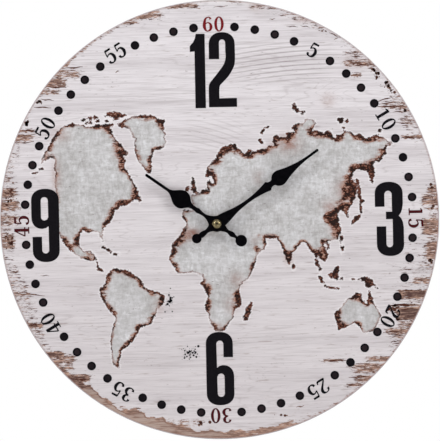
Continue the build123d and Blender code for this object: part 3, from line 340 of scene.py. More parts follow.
# Worn paint by the rim: place, half width, half height and strength
WORN_PLACES = [
    (-113, 115, 9, 4, 0.75), (-123, 108.5, 8, 4.5, 0.95), (-127, 101, 8, 2.5, 0.7), (-149, 66, 8, 3.2, 0.75),
    (-148, 71.5, 8, 1.6, 0.8), (-157, 49, 5, 5, 0.4), (-163, 35, 5, 3, 0.55), (-162, 24, 7, 5, 0.85),
    (-161, 14, 8, 5, 0.85), (-161, 3, 8, 6, 0.7), (-163, -14, 6, 6.5, 0.8), (-154, -47, 7, 3, 0.45),
    (-152, -55, 8, 2, 0.75), (-152, -62, 7, 3, 0.5), (-144, -79, 7, 2, 1.1), (-127, -101.5, 6, 2.6, 1.15),
    (-118.5, -106, 6, 4.4, 0.7), (-119, -112, 5, 2, 0.75), (-109, -120.5, 7.5, 3.4, 1.1),
    (-18, -156, 5, 3, 0.5), (88, -110.5, 11, 1.6, 0.7), (110, -117, 12, 5, 0.75), (119, -110, 10, 2.5, 0.85),
    (103, -130, 8, 2, 0.7), (110, -125, 9, 3, 0.8), (162, -6, 6, 5, 0.85), (162, -12, 6, 2.4, 1.0),
    (164, -27, 5, 8, 0.9), (160, -37, 7, 2.5, 0.6), (156, -50, 10, 3.0, 0.75), (149, -60.5, 13, 3.6, 1.15),
    (146, -75, 11, 6, 1.15), (135, -88.5, 10, 2.6, 0.9), (162, 12, 6.5, 6.5, 0.8), (165, 20, 4, 5, 0.7),
    (150, 61.5, 9, 1.8, 0.85), (150, 72, 10, 5, 0.55), (138, 86, 13, 4, 0.6), (107, 119, 11, 3.4, 0.65),
    (108, 110, 5, 2, 0.85), (105, 127, 8, 1.6, 0.55), (-50, 160, 10, 4.4, 0.75), (-63, 155, 6, 3.4, 0.7),
    (-17, 166, 6, 2, 0.8), (32, 165, 6, 3, 0.5), (15, 169, 5, 1.6, 0.7),
]

# Worn band along the rim: middle and half reach in degrees clockwise from the top, width and strength
WORN_BANDS = [
    (199, 9, 8.0, 1.6), (186, 12, 5.5, 1.4), (208, 8, 3.0, 1.6), (217, 6, 5.4, 1.5), (227, 7, 3.0, 0.75),
    (172, 13, 4.5, 0.95), (150, 20, 2.2, 0.45), (320, 16, 2.2, 0.6), (95, 13, 10.0, 0.54),
    (118, 10, 10.0, 0.56), (270, 16, 9.0, 0.4), (238, 9, 7.0, 0.42), (62, 9, 8.0, 0.5), (42, 7, 7.0, 0.42),
    (25, 9, 5.0, 0.48), (105, 9, 24.0, 0.3), (251, 10, 12.0, 0.42), (286, 8, 7.0, 0.42),
]

# Cracks in the paint: left end, right end, and width at the thickest
WORN_CRACKS = [
    ((-117.5, 119.4), (-103, 120.2), 1.1), ((-130, 105), (-116, 104.6), 1.0),
    ((-136, 95.8), (-126, 94.8), 0.8), ((-141.5, 89.8), (-128, 89.2), 0.9), ((-151, 72), (-140, 71), 1.1),
    ((-154, 67), (-138, 69.6), 0.7), ((-156, 62), (-142, 63), 0.8), ((-160, -37.8), (-155, -37.4), 0.7),
    ((-139, -40.4), (-132, -40.6), 0.5), ((-157, -54), (-136, -56), 0.9), ((-147.5, -79), (-140, -77.8), 1.2),
    ((-144, -85), (-139, -83.2), 0.8), ((-114, -121), (-103, -122), 1.4), ((79, -110.2), (97, -110.8), 1.0),
    ((98, -124), (114, -123.4), 1.1), ((94, -130.5), (106, -129.5), 0.8), ((137, -57.4), (157, -57.8), 0.9),
    ((131, -68.6), (152.5, -68.8), 2.0), ((127.4, -73.7), (135.2, -68.8), 2.2),
    ((131, -73.2), (138.4, -69.8), 2.2), ((138, -72), (151, -71.4), 0.8), ((135, -79.6), (147, -80), 0.9),
    ((125, -89.6), (141, -88.4), 0.9), ((129, -90.6), (140, -91.8), 1.0), ((131, -97), (137, -96), 0.8),
    ((142, 60.6), (156, 61.2), 1.0), ((138, 72.4), (151, 71.8), 0.8), ((121, 85.4), (144.5, 84.8), 1.0),
    ((124, 87.2), (142, 88.4), 0.8), ((122, 88.6), (138, 93), 0.8), ((136, 81), (147, 80.8), 0.8),
    ((105, 119.4), (119, 117.6), 0.8), ((98, 127.8), (110, 126.6), 0.7), ((104, 124.6), (113, 123.8), 0.7),
    ((55, 148.6), (64, 148.2), 0.6), ((88, 143.4), (95, 139.6), 0.7), ((91.6, 137.6), (95, 139.4), 0.6),
    ((-1, 164.6), (10, 165.2), 0.6), ((42, 154.2), (46.5, 154.6), 0.6), ((49, 157.4), (55, 156.8), 0.6),
    ((66, 148.8), (73, 147.8), 0.6), ((-78, 115.4), (-75, 117), 0.7), ((-67, -144.8), (-63, -144.4), 0.9),
    ((57, -145.8), (63, -145.2), 0.9),
]

# Specks where the paint has chipped: middle, spread to the sides and up, number of specks
PAINT_CHIPS = [
    (-138, 94, 1.8, 1.0, 30), (-147.5, 78, 1.3, 1.4, 30), (124, 112, 1.4, 2.6, 36), (133, 103, 1.8, 1.3, 44),
    (135.5, 98, 1.7, 2.2, 32), (146, 83, 1.2, 1.1, 26), (85, 145, 1.4, 0.5, 12), (165.5, 23, 0.9, 1.2, 10),
    (163.8, -34.5, 0.9, 1.1, 20), (40, -151.6, 0.4, 0.4, 2), (47, -152, 1.4, 0.3, 4),
    (15, 168.3, 2.0, 0.6, 8), (-16, -156, 3.2, 2.4, 12), (-162, 20, 3.6, 6.0, 50), (-163, -13, 2.6, 4.0, 24),
    (134, -69, 1.6, 0.6, 16), (137.5, -80, 0.6, 0.8, 8), (165.8, 8, 0.6, 4.0, 12),
]

# Ink splashes: middle, spread to the sides and up, number of blots
INK_SPLASHES = [(-39, -61.8, 1.3, 1.6, 34), (-39, -61.8, 2.4, 4.2, 22), (-24.6, -101.6, 3.6, 2.8, 64)]

# Spots of chipped paint and ink: seed, least and greatest radius, and room that they leave by the rim
BLOT_SEED = 7
CHIP_RADII, INK_RADII = (0.25, 1.3), (0.2, 0.95)
BLOT_MARGIN = 1.5
BLOT_SIDES, DOT_SIDES = 12, 32

# Small islands: width added to the thin ones, how far rust goes round each, and how heavy rust gets at most
CHAIN_EDGE, ISLAND_RUST, MOST_RUST = 0.1, 2, 1.6

# Worn paint: strength and width along the whole rim, waves in the border of a band (height, radians to the
# degree, start), and how far out a place lies that is worn right up to the rim
RIM_WEAR, RIM_WIDTH = 0.35, 1.6
BAND_WAVES = [(0.16, 0.9, 0), (0.1, 2.3, 1)]
OUTERMOST = 157

# Arched grain, high and low on the face: bend and middle of the arches and room between two of them, then the
# middle of the stretch, its half width and half height and its strength, and the height that parts the two
ARCHES = [(0.00118, 85, 3.6), (0.0036, -45, 4.2)]
ARCH_PLACES = [(52, 121, 42, 15, 1.0), (-2, 65, 22, 13, 0.42)]
ARCH_BORDER = 95

# Cracks: points along each, sway to both sides, and share of the width at the ends
CRACK_POINTS, CRACK_SWAY, CRACK_END = 9, 0.25, 0.35

# Minute figures that cross stand at different heights: number of heights, and step as a share of the ink
INK_LEVELS, INK_STEP = 5, 0.08

# Flat map of the sheet: size and middle of the front, and of the rear
FRONT_SIZE, FRONT_MIDDLE, REAR_SIZE, REAR_MIDDLE = 0.996, 0.5, 0.13, 0.93

# Places where a look changes from one side to the other, in millimetres above the hand axis, in front of the
# wall or from the middle of the board
# The paint and land heights span the painted shade that darkens the face towards the bottom, where less light
# falls
PAINT_SHADE_HEIGHTS, LAND_SHADE_HEIGHTS, CRACKED_HEIGHTS = (-130.0, 130.0), (-80.0, 0.0), (0.0, -80.0)
FOOT_HEIGHTS, RED_HEIGHTS = (-137.0, -127.0), (110.0, 130.0)
WASH_DEPTHS, WASH_REACH = (-20.0, -23.5), (169.0, 175.5)

# Lamps: place, share of the power and size
LAMPS = {
    "lamp_left": ((-0.75, -1.0, 1.15), 0.25, 0.6), "lamp_right": ((0.75, -1.0, 1.15), 0.25, 0.6),
    "glint_left": ((-1.35, -0.85, 0.6), 0.9, 0.4), "glint_right": ((1.35, -0.85, 0.6), 0.9, 0.4),
    "lamp_rear": ((0.3, 1.3, 0.9), 0.8, 0.5),
}

# Floor: radius of its middle and of its rim, rise to the rim, and points out and round
FLOOR_MIDDLE, FLOOR_RADIUS, FLOOR_RISE, FLOOR_RINGS, FLOOR_SPOKES = 0.02, 1.6, 0.02, 24, 72

# Dim part of the room, in front of the face: the y part of a direction where it is dimmest, and where it ends
FRONT_WAYS = (-0.98, -0.75)

FAR, TINY = 1e3, 1e-9


# Edges of the printed figures

def run(*points):
    """Straight edge through the points given."""
    return np.array(points, float)


def bend(centre, reach, start, stop, steps=10, square=0.88):
    """Rounded corner: an ellipse whose cosine and sine are raised to a power below one, which fills the
    corner out, from one angle in degrees to another."""
    turn = np.radians(np.linspace(start, stop, steps))
    across = np.sign(np.cos(turn)) * np.abs(np.cos(turn)) ** square
    up = np.sign(np.sin(turn)) * np.abs(np.sin(turn)) ** square
    return np.stack((centre[0] + reach[0] * across, centre[1] + reach[1] * up), 1)


def figure_six():
    """The 6 as one band: hook, left side, foot and bowl, which ends against the left side."""
    outer = np.concatenate((
        run((20.4, 36.9)),
        bend((10.2, 47.3), (10.2, 9.0), 0, 180, 21),
        bend((10.5, 9.0), (10.5, 9.0), 180, 360, 21),
        bend((12.6, 21.6), (8.4, 9.0), 0, 90, 10),
        run((10.0, 30.0), (7.9, 28.4)),
    ))
    inner = np.concatenate((
        run((13.5, 36.9)),
        bend((10.6, 47.1), (2.9, 2.9), 0, 180, 21, 1.0),
        bend((11.05, 9.0), (2.95, 2.95), 180, 360, 21, 1.0),
        bend((11.05, 21.6), (2.95, 2.95), 0, 90, 10, 1.0),
        run((9.2, 23.9), (8.1, 21.8)),
    ))
    return [(outer, inner)]


def figure_nine():
    """The 6 turned half round."""
    return [tuple((20.9, 56.3) - edge for edge in band) for band in figure_six()]


def figure_three():
    """The 3 as an upper and a lower band that meet at the tongue and the notch."""
    upper_outer = np.concatenate((
        run((0.0, 38.0)),
        bend((10.6, 48.0), (10.6, 9.0), 180, 0, 21),
        run((21.2, 40.0), (20.6, 36.0), (19.6, 33.2), (17.9, 31.0)),
    ))
    upper_inner = np.concatenate((
        run((7.0, 38.0)),
        bend((10.05, 47.4), (3.05, 3.05), 180, 0, 21, 1.0),
        run((13.1, 40.0), (13.1, 34.1), (8.4, 34.1), (8.4, 31.0)),
    ))
    lower_outer = np.concatenate((
        run((17.9, 31.0), (19.9, 28.6), (21.0, 26.0), (21.6, 22.0)),
        bend((11.3, 9.0), (10.3, 9.0), 0, -180, 21),
        run((1.0, 22.8)),
    ))
    lower_inner = np.concatenate((
        run((8.4, 31.0), (8.4, 28.3), (13.5, 28.3), (13.5, 22.0)),
        bend((10.75, 9.3), (2.75, 2.9), 0, -180, 21, 1.0),
        run((8.0, 22.8)),
    ))
    return [(upper_outer, upper_inner), (lower_outer, lower_inner)]


def figure_two():
    """The 2 as one band: hook, right side, slope and foot."""
    outer = np.concatenate((
        run((0.6, 37.0)),
        bend((10.5, 48.2), (9.85, 9.35), 180, 0, 21),
        smooth(run(
            (20.35, 44), (20.3, 35.6), (19.1, 30.5), (15.4, 24.2), (11.2, 19.6), (8.4, 16.6), (7.8, 13.6)
        )),
        run((7.8, 6.5), (21.5, 6.5)),
    ))
    inner = np.concatenate((
        run((8.15, 37.0)),
        bend((10.75, 49.7), (2.6, 2.6), 180, 0, 21, 1.0),
        smooth(run((13.35, 44), (13.5, 38), (11.9, 32.7), (8.2, 27.5), (4.5, 22.9), (0.7, 18), (0, 14))),
        run((0.0, 0.0), (21.5, 0.0)),
    ))
    return [(outer, inner)]


def figure_one():
    """The 1 as one band: the flag on its left edge and a straight right edge."""
    left = run((4.9, 56.8), (4.3, 53.6), (2.95, 50.6), (0.15, 47.5), (0.2, 43.0), (3.75, 43.3), (3.75, -0.7))
    right = np.stack((np.full(7, 11.4), (56.8, 54.2, 52.0, 49.6, 46.5, 43.6, -0.7)), 1)
    return [(left, right)]


def smooth(given, steps=7):
    """Smooth curve through the points given: between two of them a cubic whose slopes come from their
    neighbours."""
    padded = np.concatenate((2 * given[:1] - given[1:2], given, 2 * given[-1:] - given[-2:-1]))
    place = np.linspace(0, len(given) - 1, steps * (len(given) - 1) + 1)
    part = np.minimum(place.astype(int), len(given) - 2)
    t = (place - part)[:, None]
    a, b, c, d = (padded[part + k] for k in range(4))
    return 0.5 * (2 * b + (c - a) * t + (2 * a - 5 * b + 4 * c - d) * t**2 + (3 * b - a - 3 * c + d) * t**3)


def pen(*points, steps=7):
    """Pen stroke: a smooth curve through the points (right, up, width), with the width spread to both
    sides of it."""
    line = smooth(np.array(points, float), steps)
    along = np.gradient(line[:, :2], axis=0)
    along = along / np.linalg.norm(along, axis=1, keepdims=True)
    aside = np.stack((-along[:, 1], along[:, 0]), 1) * line[:, 2:] / 2
    return line[:, :2] + aside, line[:, :2] - aside


def bled(band, spread):
    """A band with both edges moved apart by the spread."""
    left, right = band
    out = (left - right) / np.linalg.norm(left - right, axis=1, keepdims=True)
    return left + out * spread, right - out * spread


def ring(outer, inner, steps=40):
    """Closed band between two ellipses about the same middle."""
    turn = np.radians(np.linspace(0, 360, steps + 1))
    way = np.stack((np.cos(turn), np.sin(turn)), 1)
    return way * outer, way * inner


# Turn from one minute to the next, in degrees
MINUTE_TURN = 6.0

# Minute figures, from their middle, in boxes of this height and width
FIGURE_HEIGHT, FIGURE_WIDTH = 11.4, 7.1
SMALL_FIGURES = {
    "0": [ring((3.6, 5.8), (1.6, 5.05))],
    "1": [
        pen((0, 5.3, 2.1), (0, -5.0, 2.1), steps=2),
        pen((-0.8, 4.8, 1.1), (-1.7, 4.2, 0.9), (-2.6, 3.9, 0.6)),
        pen((-2.7, -5.0, 0.75), (2.7, -5.0, 0.75), steps=2),
    ],
    "2": [
        pen((-2.4, 2.5, 2.0), (-2.6, 3.7, 1.3), (-1.6, 4.95, 0.8), (0.1, 5.4, 0.75), (1.9, 4.6, 1.8),
            (2.4, 3.0, 2.2), (1.5, 0.9, 1.7), (-0.8, -2.0, 1.1), (-2.8, -4.7, 0.8)),
        pen((-3.3, -5.3, 0.8), (-1.5, -4.95, 1.6), (0.8, -4.95, 1.6), (2.6, -4.7, 1.3), (3.2, -2.9, 0.7)),
    ],
    "3": [
        pen((-2.3, 3.2, 2.0), (-2.2, 4.4, 1.2), (-0.6, 5.4, 0.75), (1.3, 4.9, 1.5), (2.0, 3.2, 2.2),
            (1.3, 1.3, 1.4), (-0.8, 0.45, 0.7)),
        pen((-0.8, 0.4, 0.7), (1.5, -0.3, 1.4), (2.5, -2.5, 2.3), (1.6, -4.6, 1.5), (-0.5, -5.4, 0.75),
            (-2.2, -4.7, 1.2), (-2.5, -3.4, 2.0)),
    ],
    "4": [
        pen((1.3, 5.75, 2.2), (1.3, -5.4, 2.2), steps=2),
        pen((0.6, 5.3, 0.8), (-3.2, -2.2, 0.8), steps=2),
        pen((-3.5, -2.35, 0.85), (3.5, -2.35, 0.85), steps=2),
        pen((-1.4, -5.4, 0.75), (3.6, -5.4, 0.75), steps=2),
    ],
    "5": [
        pen((-2.2, 4.95, 1.6), (2.6, 5.05, 1.4), steps=3),
        pen((-2.05, 5.2, 0.8), (-2.4, 0.3, 0.8), steps=2),
        pen((-2.5, 0.2, 0.7), (-0.6, 1.6, 0.85), (1.4, 1.2, 1.6), (2.5, -1.4, 2.3), (1.7, -4.3, 1.7),
            (-0.3, -5.4, 0.9), (-2.2, -4.7, 1.5), (-2.6, -3.3, 1.8)),
    ],
    "6": [
        pen((2.3, 3.8, 1.9), (1.8, 4.9, 1.1), (0.3, 5.4, 0.75), (-1.7, 4.0, 1.4), (-2.5, 0.5, 2.2),
            (-2.4, -2.4, 2.2), (-1.2, -4.9, 1.1), (0.2, -5.4, 0.75)),
        pen((0.2, -5.4, 0.75), (2.0, -4.2, 1.6), (2.6, -2.0, 2.2), (2.0, 0.2, 1.5), (0.3, 1.25, 0.75),
            (-1.3, 0.6, 0.7), (-2.0, -0.6, 0.7)),
    ],
}


# Numbers that stand off their place on the ring: right and up
NUMBER_SHIFTS = {
    5: (-0.5, -1.5), 10: (-1.5, 0), 20: (0, -0.5), 25: (-0.5, -0.5), 35: (-0.5, -0.5), 40: (0, -2),
    45: (-0.5, -1), 50: (-0.5, -1), 55: (-0.5, 0), 60: (-0.5, 0),
}


# Meshes

def on_print(flat, depth):
    """Points of the print, in millimetres right and up from its middle, put on the clock at a depth."""
    face = bpy.context.scene.clock_face
    right = flat[..., 0] * MM + face.centre_right
    up = flat[..., 1] * MM + face.centre_up
    return np.stack((right, np.broadcast_to(depth, right.shape), up), -1)


def ring_places(minutes, radius):
    """Places on a circle about the middle of the print where the minute rays meet it, then squeezed a
    little. The rays lie six degrees apart about a point off the middle, and each is as long as Pythagoras
    gives."""
    face = bpy.context.scene.clock_face
    angle = np.radians(np.asarray(minutes) * MINUTE_TURN)
    out = np.stack((np.sin(angle), np.cos(angle)), -1)
    start = np.array((face.ray_right, face.ray_up)) / MM
    along = out @ start
    reach = np.sqrt(along**2 - start @ start + radius**2) - along
    return (start + reach[..., None] * out) * (1 + face.ring_squeeze, 1 - face.ring_squeeze)


def grid_faces(rows, columns, closed):
    """Four-cornered faces between each row of points and the next, all the way round each row, and from the
    last row to the first if the grid is closed."""
    row, column = np.arange(rows if closed else rows - 1)[:, None], np.arange(columns)
    after, beside = (row + 1) % rows, (column + 1) % columns
    corners = ((row, column), (after, column), (after, beside), (row, beside))
    return np.stack([down * columns + over for down, over in corners], -1).reshape(-1, 4)


def band_solid(band, back, front):
    """Solid with the outline of a band: at each station a rectangle from the one edge to the other and
    from the front to the back is carried along the band. The order of the edges is swapped where the
    band's area comes out negative, so that faces point outwards."""
    left, right = band
    middle = (left + right) / 2
    step = np.diff(middle, axis=0)
    over = (right - left)[:-1] + (right - left)[1:]
    if np.sum(step[:, 0] * over[:, 1] - step[:, 1] * over[:, 0]) > 0:
        left, right = right, left
    corners = np.stack((
        on_print(left, front), on_print(right, front), on_print(right, back), on_print(left, back)
    ), 1)
    closed = bool(np.allclose(left[0], left[-1]))
    corners = corners[:-1] if closed else corners
    faces = [grid_faces(len(corners), 4, closed)[:, [0, 3, 2, 1]]]
    if not closed:
        faces.append(np.array([[3, 2, 1, 0], (len(corners) - 1) * 4 + np.arange(4)]))
    return corners.reshape(-1, 3), faces


def dot_solids(places, radii, back, front, sides):
    """Low round studs: for each place two circles of points at the front, the first of half the radius,
    and one at the back, with four-cornered faces between one circle and the next."""
    turn = np.linspace(0, 2 * math.pi, sides, endpoint=False)
    circle = np.stack((np.cos(turn), np.sin(turn)), 1) * np.asarray(radii)[:, None, None]
    middles = np.asarray(places)[:, None, :]
    circles = ((circle / 2, front), (circle, front), (circle, back))
    points = np.stack([on_print(middles + edge, depth) for edge, depth in circles], 1)
    here = np.arange(sides)
    first = (np.arange(len(middles)) * len(circles) * sides)[:, None]
    bands = grid_faces(len(circles), sides, False)[:, [3, 0, 1, 2]]
    quads = (first[:, :, None] + bands).reshape(-1, 4)
    return points.reshape(-1, 3), [quads, first + here, first + 2 * sides + here[::-1]]


def blots(splashes, front, radii):
    """Small round spots strewn about the middle of each splash. Their radii go from the least to the
    greatest with the third power of chance, so most are small."""
    least, most = radii
    chance = np.random.default_rng(BLOT_SEED)
    places = np.concatenate([
        chance.normal((right, up), (wide, high), (count, 2)) for right, up, wide, high, count in splashes
    ])
    places = places[rim_distance(places) > BLOT_MARGIN]
    sizes = least + (most - least) * chance.random(len(places)) ** 3
    return dot_solids(places, sizes, SHEET_FRONT, front, BLOT_SIDES)


def joined(solids):
    """Several solids as one array of points and one list of arrays of faces."""
    starts = np.cumsum([0] + [len(points) for points, _ in solids[:-1]])
    faces = [part + start for start, (_, parts) in zip(starts, solids) for part in parts]
    return np.concatenate([points for points, _ in solids]), faces


def placed(name, data):
    """New object in the scene."""
    made = bpy.data.objects.new(name, data)
    bpy.context.scene.collection.objects.link(made)
    return made


def add_piece(name, points, faces, material, slot):
    """New piece on the clock's body, with its place in its mesh. The faces are a list of arrays, each with
    faces of one number of corners."""
    mesh = bpy.data.meshes.new(name)
    mesh.from_pydata(points.tolist(), [], [face for part in faces for face in part.tolist()])
    mesh.validate()
    piece = placed(name, mesh)
    mesh.materials.append(material)
    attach(piece, "clock_body")
    return piece


# Fields over the face, in millimetres from the middle of the print

def oval(flat, right, up, wide, high, power=2):
    """Bell curve over an oval: e to the minus sum of the powers of the distances across and up, each divided
    by its half size. The power of two is round, a higher one flat on top."""
    return np.exp(-(((flat[:, 0] - right) / wide) ** power) - ((flat[:, 1] - up) / high) ** power)


def reach_to_edge(flat, start, stop):
    """Distance from each point to a straight stretch: the point is dropped square onto the stretch's line,
    and held between the ends."""
    way = stop - start
    share = np.clip(((flat - start) @ way) / max(float(way @ way), TINY), 0, 1)
    return np.linalg.norm(flat - start - share[:, None] * way, axis=1)


def chain_stretches():
    """Half width, start and end of each straight stretch of the thin islands."""
    for half, points in ISLAND_CHAINS:
        corners = np.array(points, float)
        for start, stop in zip(corners[:-1], corners[1:]):
            yield half, start, stop


def coast_distance(flat):
    """Distance to the nearest coast, above zero on land. A point is inside a land if a line to its right
    crosses the outline an odd number of times. Thin islands are lines with a half width, and islets are
    ellipses."""
    best = np.full(len(flat), -FAR)
    for outline in LANDS:
        corners = np.array(outline, float)
        near = np.full(len(flat), FAR)
        inside = np.zeros(len(flat), bool)
        for start, stop in zip(corners, np.roll(corners, -1, axis=0)):
            near = np.minimum(near, reach_to_edge(flat, start, stop))
            spans = (start[1] > flat[:, 1]) != (stop[1] > flat[:, 1])
            rise = stop[1] - start[1] or TINY
            cross = start[0] + (flat[:, 1] - start[1]) / rise * (stop[0] - start[0])
            inside ^= spans & (flat[:, 0] < cross)
        best = np.maximum(best, np.where(inside, near, -near))
    for half, start, stop in chain_stretches():
        best = np.maximum(best, half + CHAIN_EDGE - reach_to_edge(flat, start, stop))
    for right, up, wide, high in ISLETS:
        off = np.hypot((flat[:, 0] - right) / wide, (flat[:, 1] - up) / high)
        best = np.maximum(best, (1 - off) * min(wide, high))
    return best


def rust_strength(flat):
    """Sum of round bell curves, one for each place with heavy rust, and at least one on each small island
    and along each thin one."""
    total = sum(strength * oval(flat, *place, reach, reach) for *place, reach, strength in RUST_PLACES)
    for right, up, wide, _ in ISLETS:
        total = np.maximum(total, oval(flat, right, up, ISLAND_RUST + wide, ISLAND_RUST + wide))
    for half, start, stop in chain_stretches():
        away = reach_to_edge(flat, start, stop) / (ISLAND_RUST + half)
        total = np.maximum(total, np.exp(-(away**2)))
    return np.clip(total, 0, MOST_RUST)


def stain_strength(flat):
    """Highest of oval bell curves, one for each soft stain."""
    return np.max([strength * oval(flat, *place) for *place, strength in SOFT_STAINS], 0)


def rim_distance(flat):
    """Distance from each point to the rim of the sheet."""
    face = bpy.context.scene.clock_face
    off = flat + np.array((face.centre_right, face.centre_up)) / MM - SHEET_CENTRE / MM
    return SHEET_RADIUS / MM - np.hypot(off[:, 0], off[:, 1])


def worn_strength(flat):
    """Highest of flat-topped ovals, one for each worn place, which reach out to the rim where they lie
    close to it, of bands that follow the rim for a stretch, with a wavy border, and of the rim's own wear.
    A band falls off with the fourth power of the bearing and the twelfth of the distance from the rim."""
    from_rim = rim_distance(flat)
    bearing = np.degrees(np.arctan2(flat[:, 0], flat[:, 1])) % 360
    total = RIM_WEAR * np.exp(-((from_rim / RIM_WIDTH) ** 2))
    ragged = from_rim / (1 + sum(high * np.sin(bearing * rate + start) for high, rate, start in BAND_WAVES))
    for middle, half, wide, strength in WORN_BANDS:
        band = np.exp(-(((bearing - middle) / half) ** 4) - (ragged / wide) ** 12)
        total = np.maximum(total, strength * band)
    for right, up, wide, high, strength in WORN_PLACES:
        held = flat.copy()
        if math.hypot(right, up) > OUTERMOST:
            held[:, 0] = np.sign(right) * np.minimum(np.sign(right) * held[:, 0], abs(right))
        total = np.maximum(total, strength * oval(held, right, up, wide, high, 4))
    return total


def arched_grain(flat):
    """Angle of a wave whose crests are flat parabolas, with other arches above the border than below it."""
    high, low = (
        (flat[:, 1] + bow * (flat[:, 0] - middle) ** 2) * 2 * math.pi / gap for bow, middle, gap in ARCHES
    )
    return np.where(flat[:, 1] > ARCH_BORDER, high, low)


def arched_share(flat):
    """Higher of flat-topped ovals over the two stretches of board with arched grain."""
    return np.max([strength * oval(flat, *place, 4) for *place, strength in ARCH_PLACES], 0)


# Finishes

def add_node(tree, kind, output, sockets, **settings):
    """Output of a new node, with its settings, and with values or other outputs on its sockets."""
    node = tree.nodes.new("ShaderNode" + kind)
    for name, value in settings.items():
        setattr(node, name, value)
    for name, value in sockets.items():
        if isinstance(value, bpy.types.NodeSocket):
            tree.links.new(value, node.inputs[name])
        else:
            node.inputs[name].default_value = value
    return node.outputs[output]


class Finish:
    """A material that is put together node by node, with Object coordinates in millimetres."""

    def __init__(self, name):
        self.material = bpy.data.materials.new(name)
        self.material.use_nodes = True
        self.tree = self.material.node_tree
        self.shader = self.tree.nodes["Principled BSDF"]
        self.place = self.node("TexCoord", "Object", {})

    def node(self, kind, output, sockets, **settings):
        """Output of a new node of this material."""
        return add_node(self.tree, kind, output, sockets, **settings)

    def attribute(self, name):
        """A number that the mesh holds at each point."""
        return self.node("Attribute", "Fac", {}, attribute_name=name)

    def mapped(self, stretch=1, shift=(0, 0, 0)):
        """Object coordinates in millimetres, drawn out by the stretch given."""
        scale = (np.broadcast_to(stretch, 3) / MM).tolist()
        return self.node("Mapping", "Vector", {"Vector": self.place, "Scale": scale, "Location": shift})

    def along(self, axis):
        """Place along one axis in millimetres: 0 to the right, 1 to the back, 2 up."""
        return self.node("SeparateXYZ", axis, {0: self.mapped()})

    def noise(self, stretch, detail=3.0, roughness=0.55, shift=(0, 0, 0), distortion=0.0):
        """Soft noise with the given number of waves to the millimetre each way."""
        return self.node("TexNoise", "Fac", {
            "Vector": self.mapped(stretch, shift), "Scale": 1.0, "Detail": detail, "Roughness": roughness,
            "Distortion": distortion,
        })

    def cells(self, stretch, output):
        """Cells of the given number to the millimetre: their colours, or the distance from their middles."""
        return self.node("TexVoronoi", output, {"Vector": self.mapped(stretch), "Scale": 1.0})

    def sum(self, operation, *values, clamp=False):
        """One step of arithmetic."""
        return self.node("Math", 0, dict(enumerate(values)), operation=operation, use_clamp=clamp)

    def times(self, first, second):
        """Product of two values."""
        return self.sum("MULTIPLY", first, second)

    def blend(self, first, share, second):
        """A share of the first value, added to the second."""
        return self.sum("MULTIPLY_ADD", first, share, second)

    def rise(self, value, low, high, bottom=0.0, top=1.0):
        """Smooth step from bottom to top while a value goes from low to high."""
        return self.node("MapRange", "Result", {
            "Value": value, "From Min": low, "From Max": high, "To Min": bottom, "To Max": top,
        }, interpolation_type="SMOOTHSTEP")

    def mix(self, share, first, second):
        """Two colours mixed by a share."""
        pair = [tone if isinstance(tone, bpy.types.NodeSocket) else (*tone, 1.0) for tone in (first, second)]
        return self.node("Mix", 2, {0: share, 6: pair[0], 7: pair[1]}, data_type="RGBA")

    def over(self, base, shade, value, low, high, top=1.0):
        """A shade laid over a colour, up to a share, while a value goes from low to high."""
        return self.mix(self.rise(value, low, high, 0.0, top), base, shade)

    def bump(self, height, strength, distance):
        """Relief from a height."""
        normal = self.node("Bump", "Normal", {
            "Strength": strength, "Distance": distance * MM, "Height": height,
        })
        self.tree.links.new(normal, self.shader.inputs["Normal"])

    def done(self, base, roughness, **constants):
        """Colour, roughness and plain values go on the shader."""
        self.tree.links.new(base, self.shader.inputs["Base Color"])
        self.tree.links.new(roughness, self.shader.inputs["Roughness"])
        for name, value in constants.items():
            self.shader.inputs[name.replace("_", " ").title().replace("Ior", "IOR")].default_value = value
        return self.material


def speckled(name, dark, light, stretch, rough, relief=(0.1, 0.05), **constants):
    """Finish of two shades mixed by noise, with roughness and a fine relief from the same noise."""
    finish = Finish(name)
    grain = finish.noise(stretch)
    finish.bump(grain, *relief)
    base = finish.over(linear(*dark), linear(*light), grain, 0.3, 0.7)
    return finish.done(base, finish.rise(grain, 0.3, 0.7, *rough), **constants)


def face_finish():
    """Whitewashed boards, a zinc map with rusty coasts, and bare wood where the paint has worn away."""
    shades = bpy.context.scene.clock_colours
    finish = Finish("face_print")
    ragged = finish.noise((0.42, 0.42, 0.55), 5.0, 0.68, (4, 1, 8))
    coast = finish.blend(finish.sum("SUBTRACT", ragged, 0.5), 5.0, finish.attribute("coast"))
    speck = finish.noise((0.6, 1.0, 1.0), 3.0, 0.75, (6, 2, 3))
    fine = finish.noise((0.035, 0.2, 1.1), 5.0, 0.66)
    base = whitewash(finish, shades, fine, coast)
    base = finish.over(base, zinc(finish, shades), coast, -0.2, 0.35)
    base = rusty_coast(finish, shades, base, coast, speck)
    base = worn_rim(finish, shades, base)
    finish.bump(finish.sum("ADD", fine, ragged), 0.12, 0.25)
    return finish.done(base, finish.rise(fine, 0.3, 0.7, 0.62, 0.74), specular_ior_level=0.2)


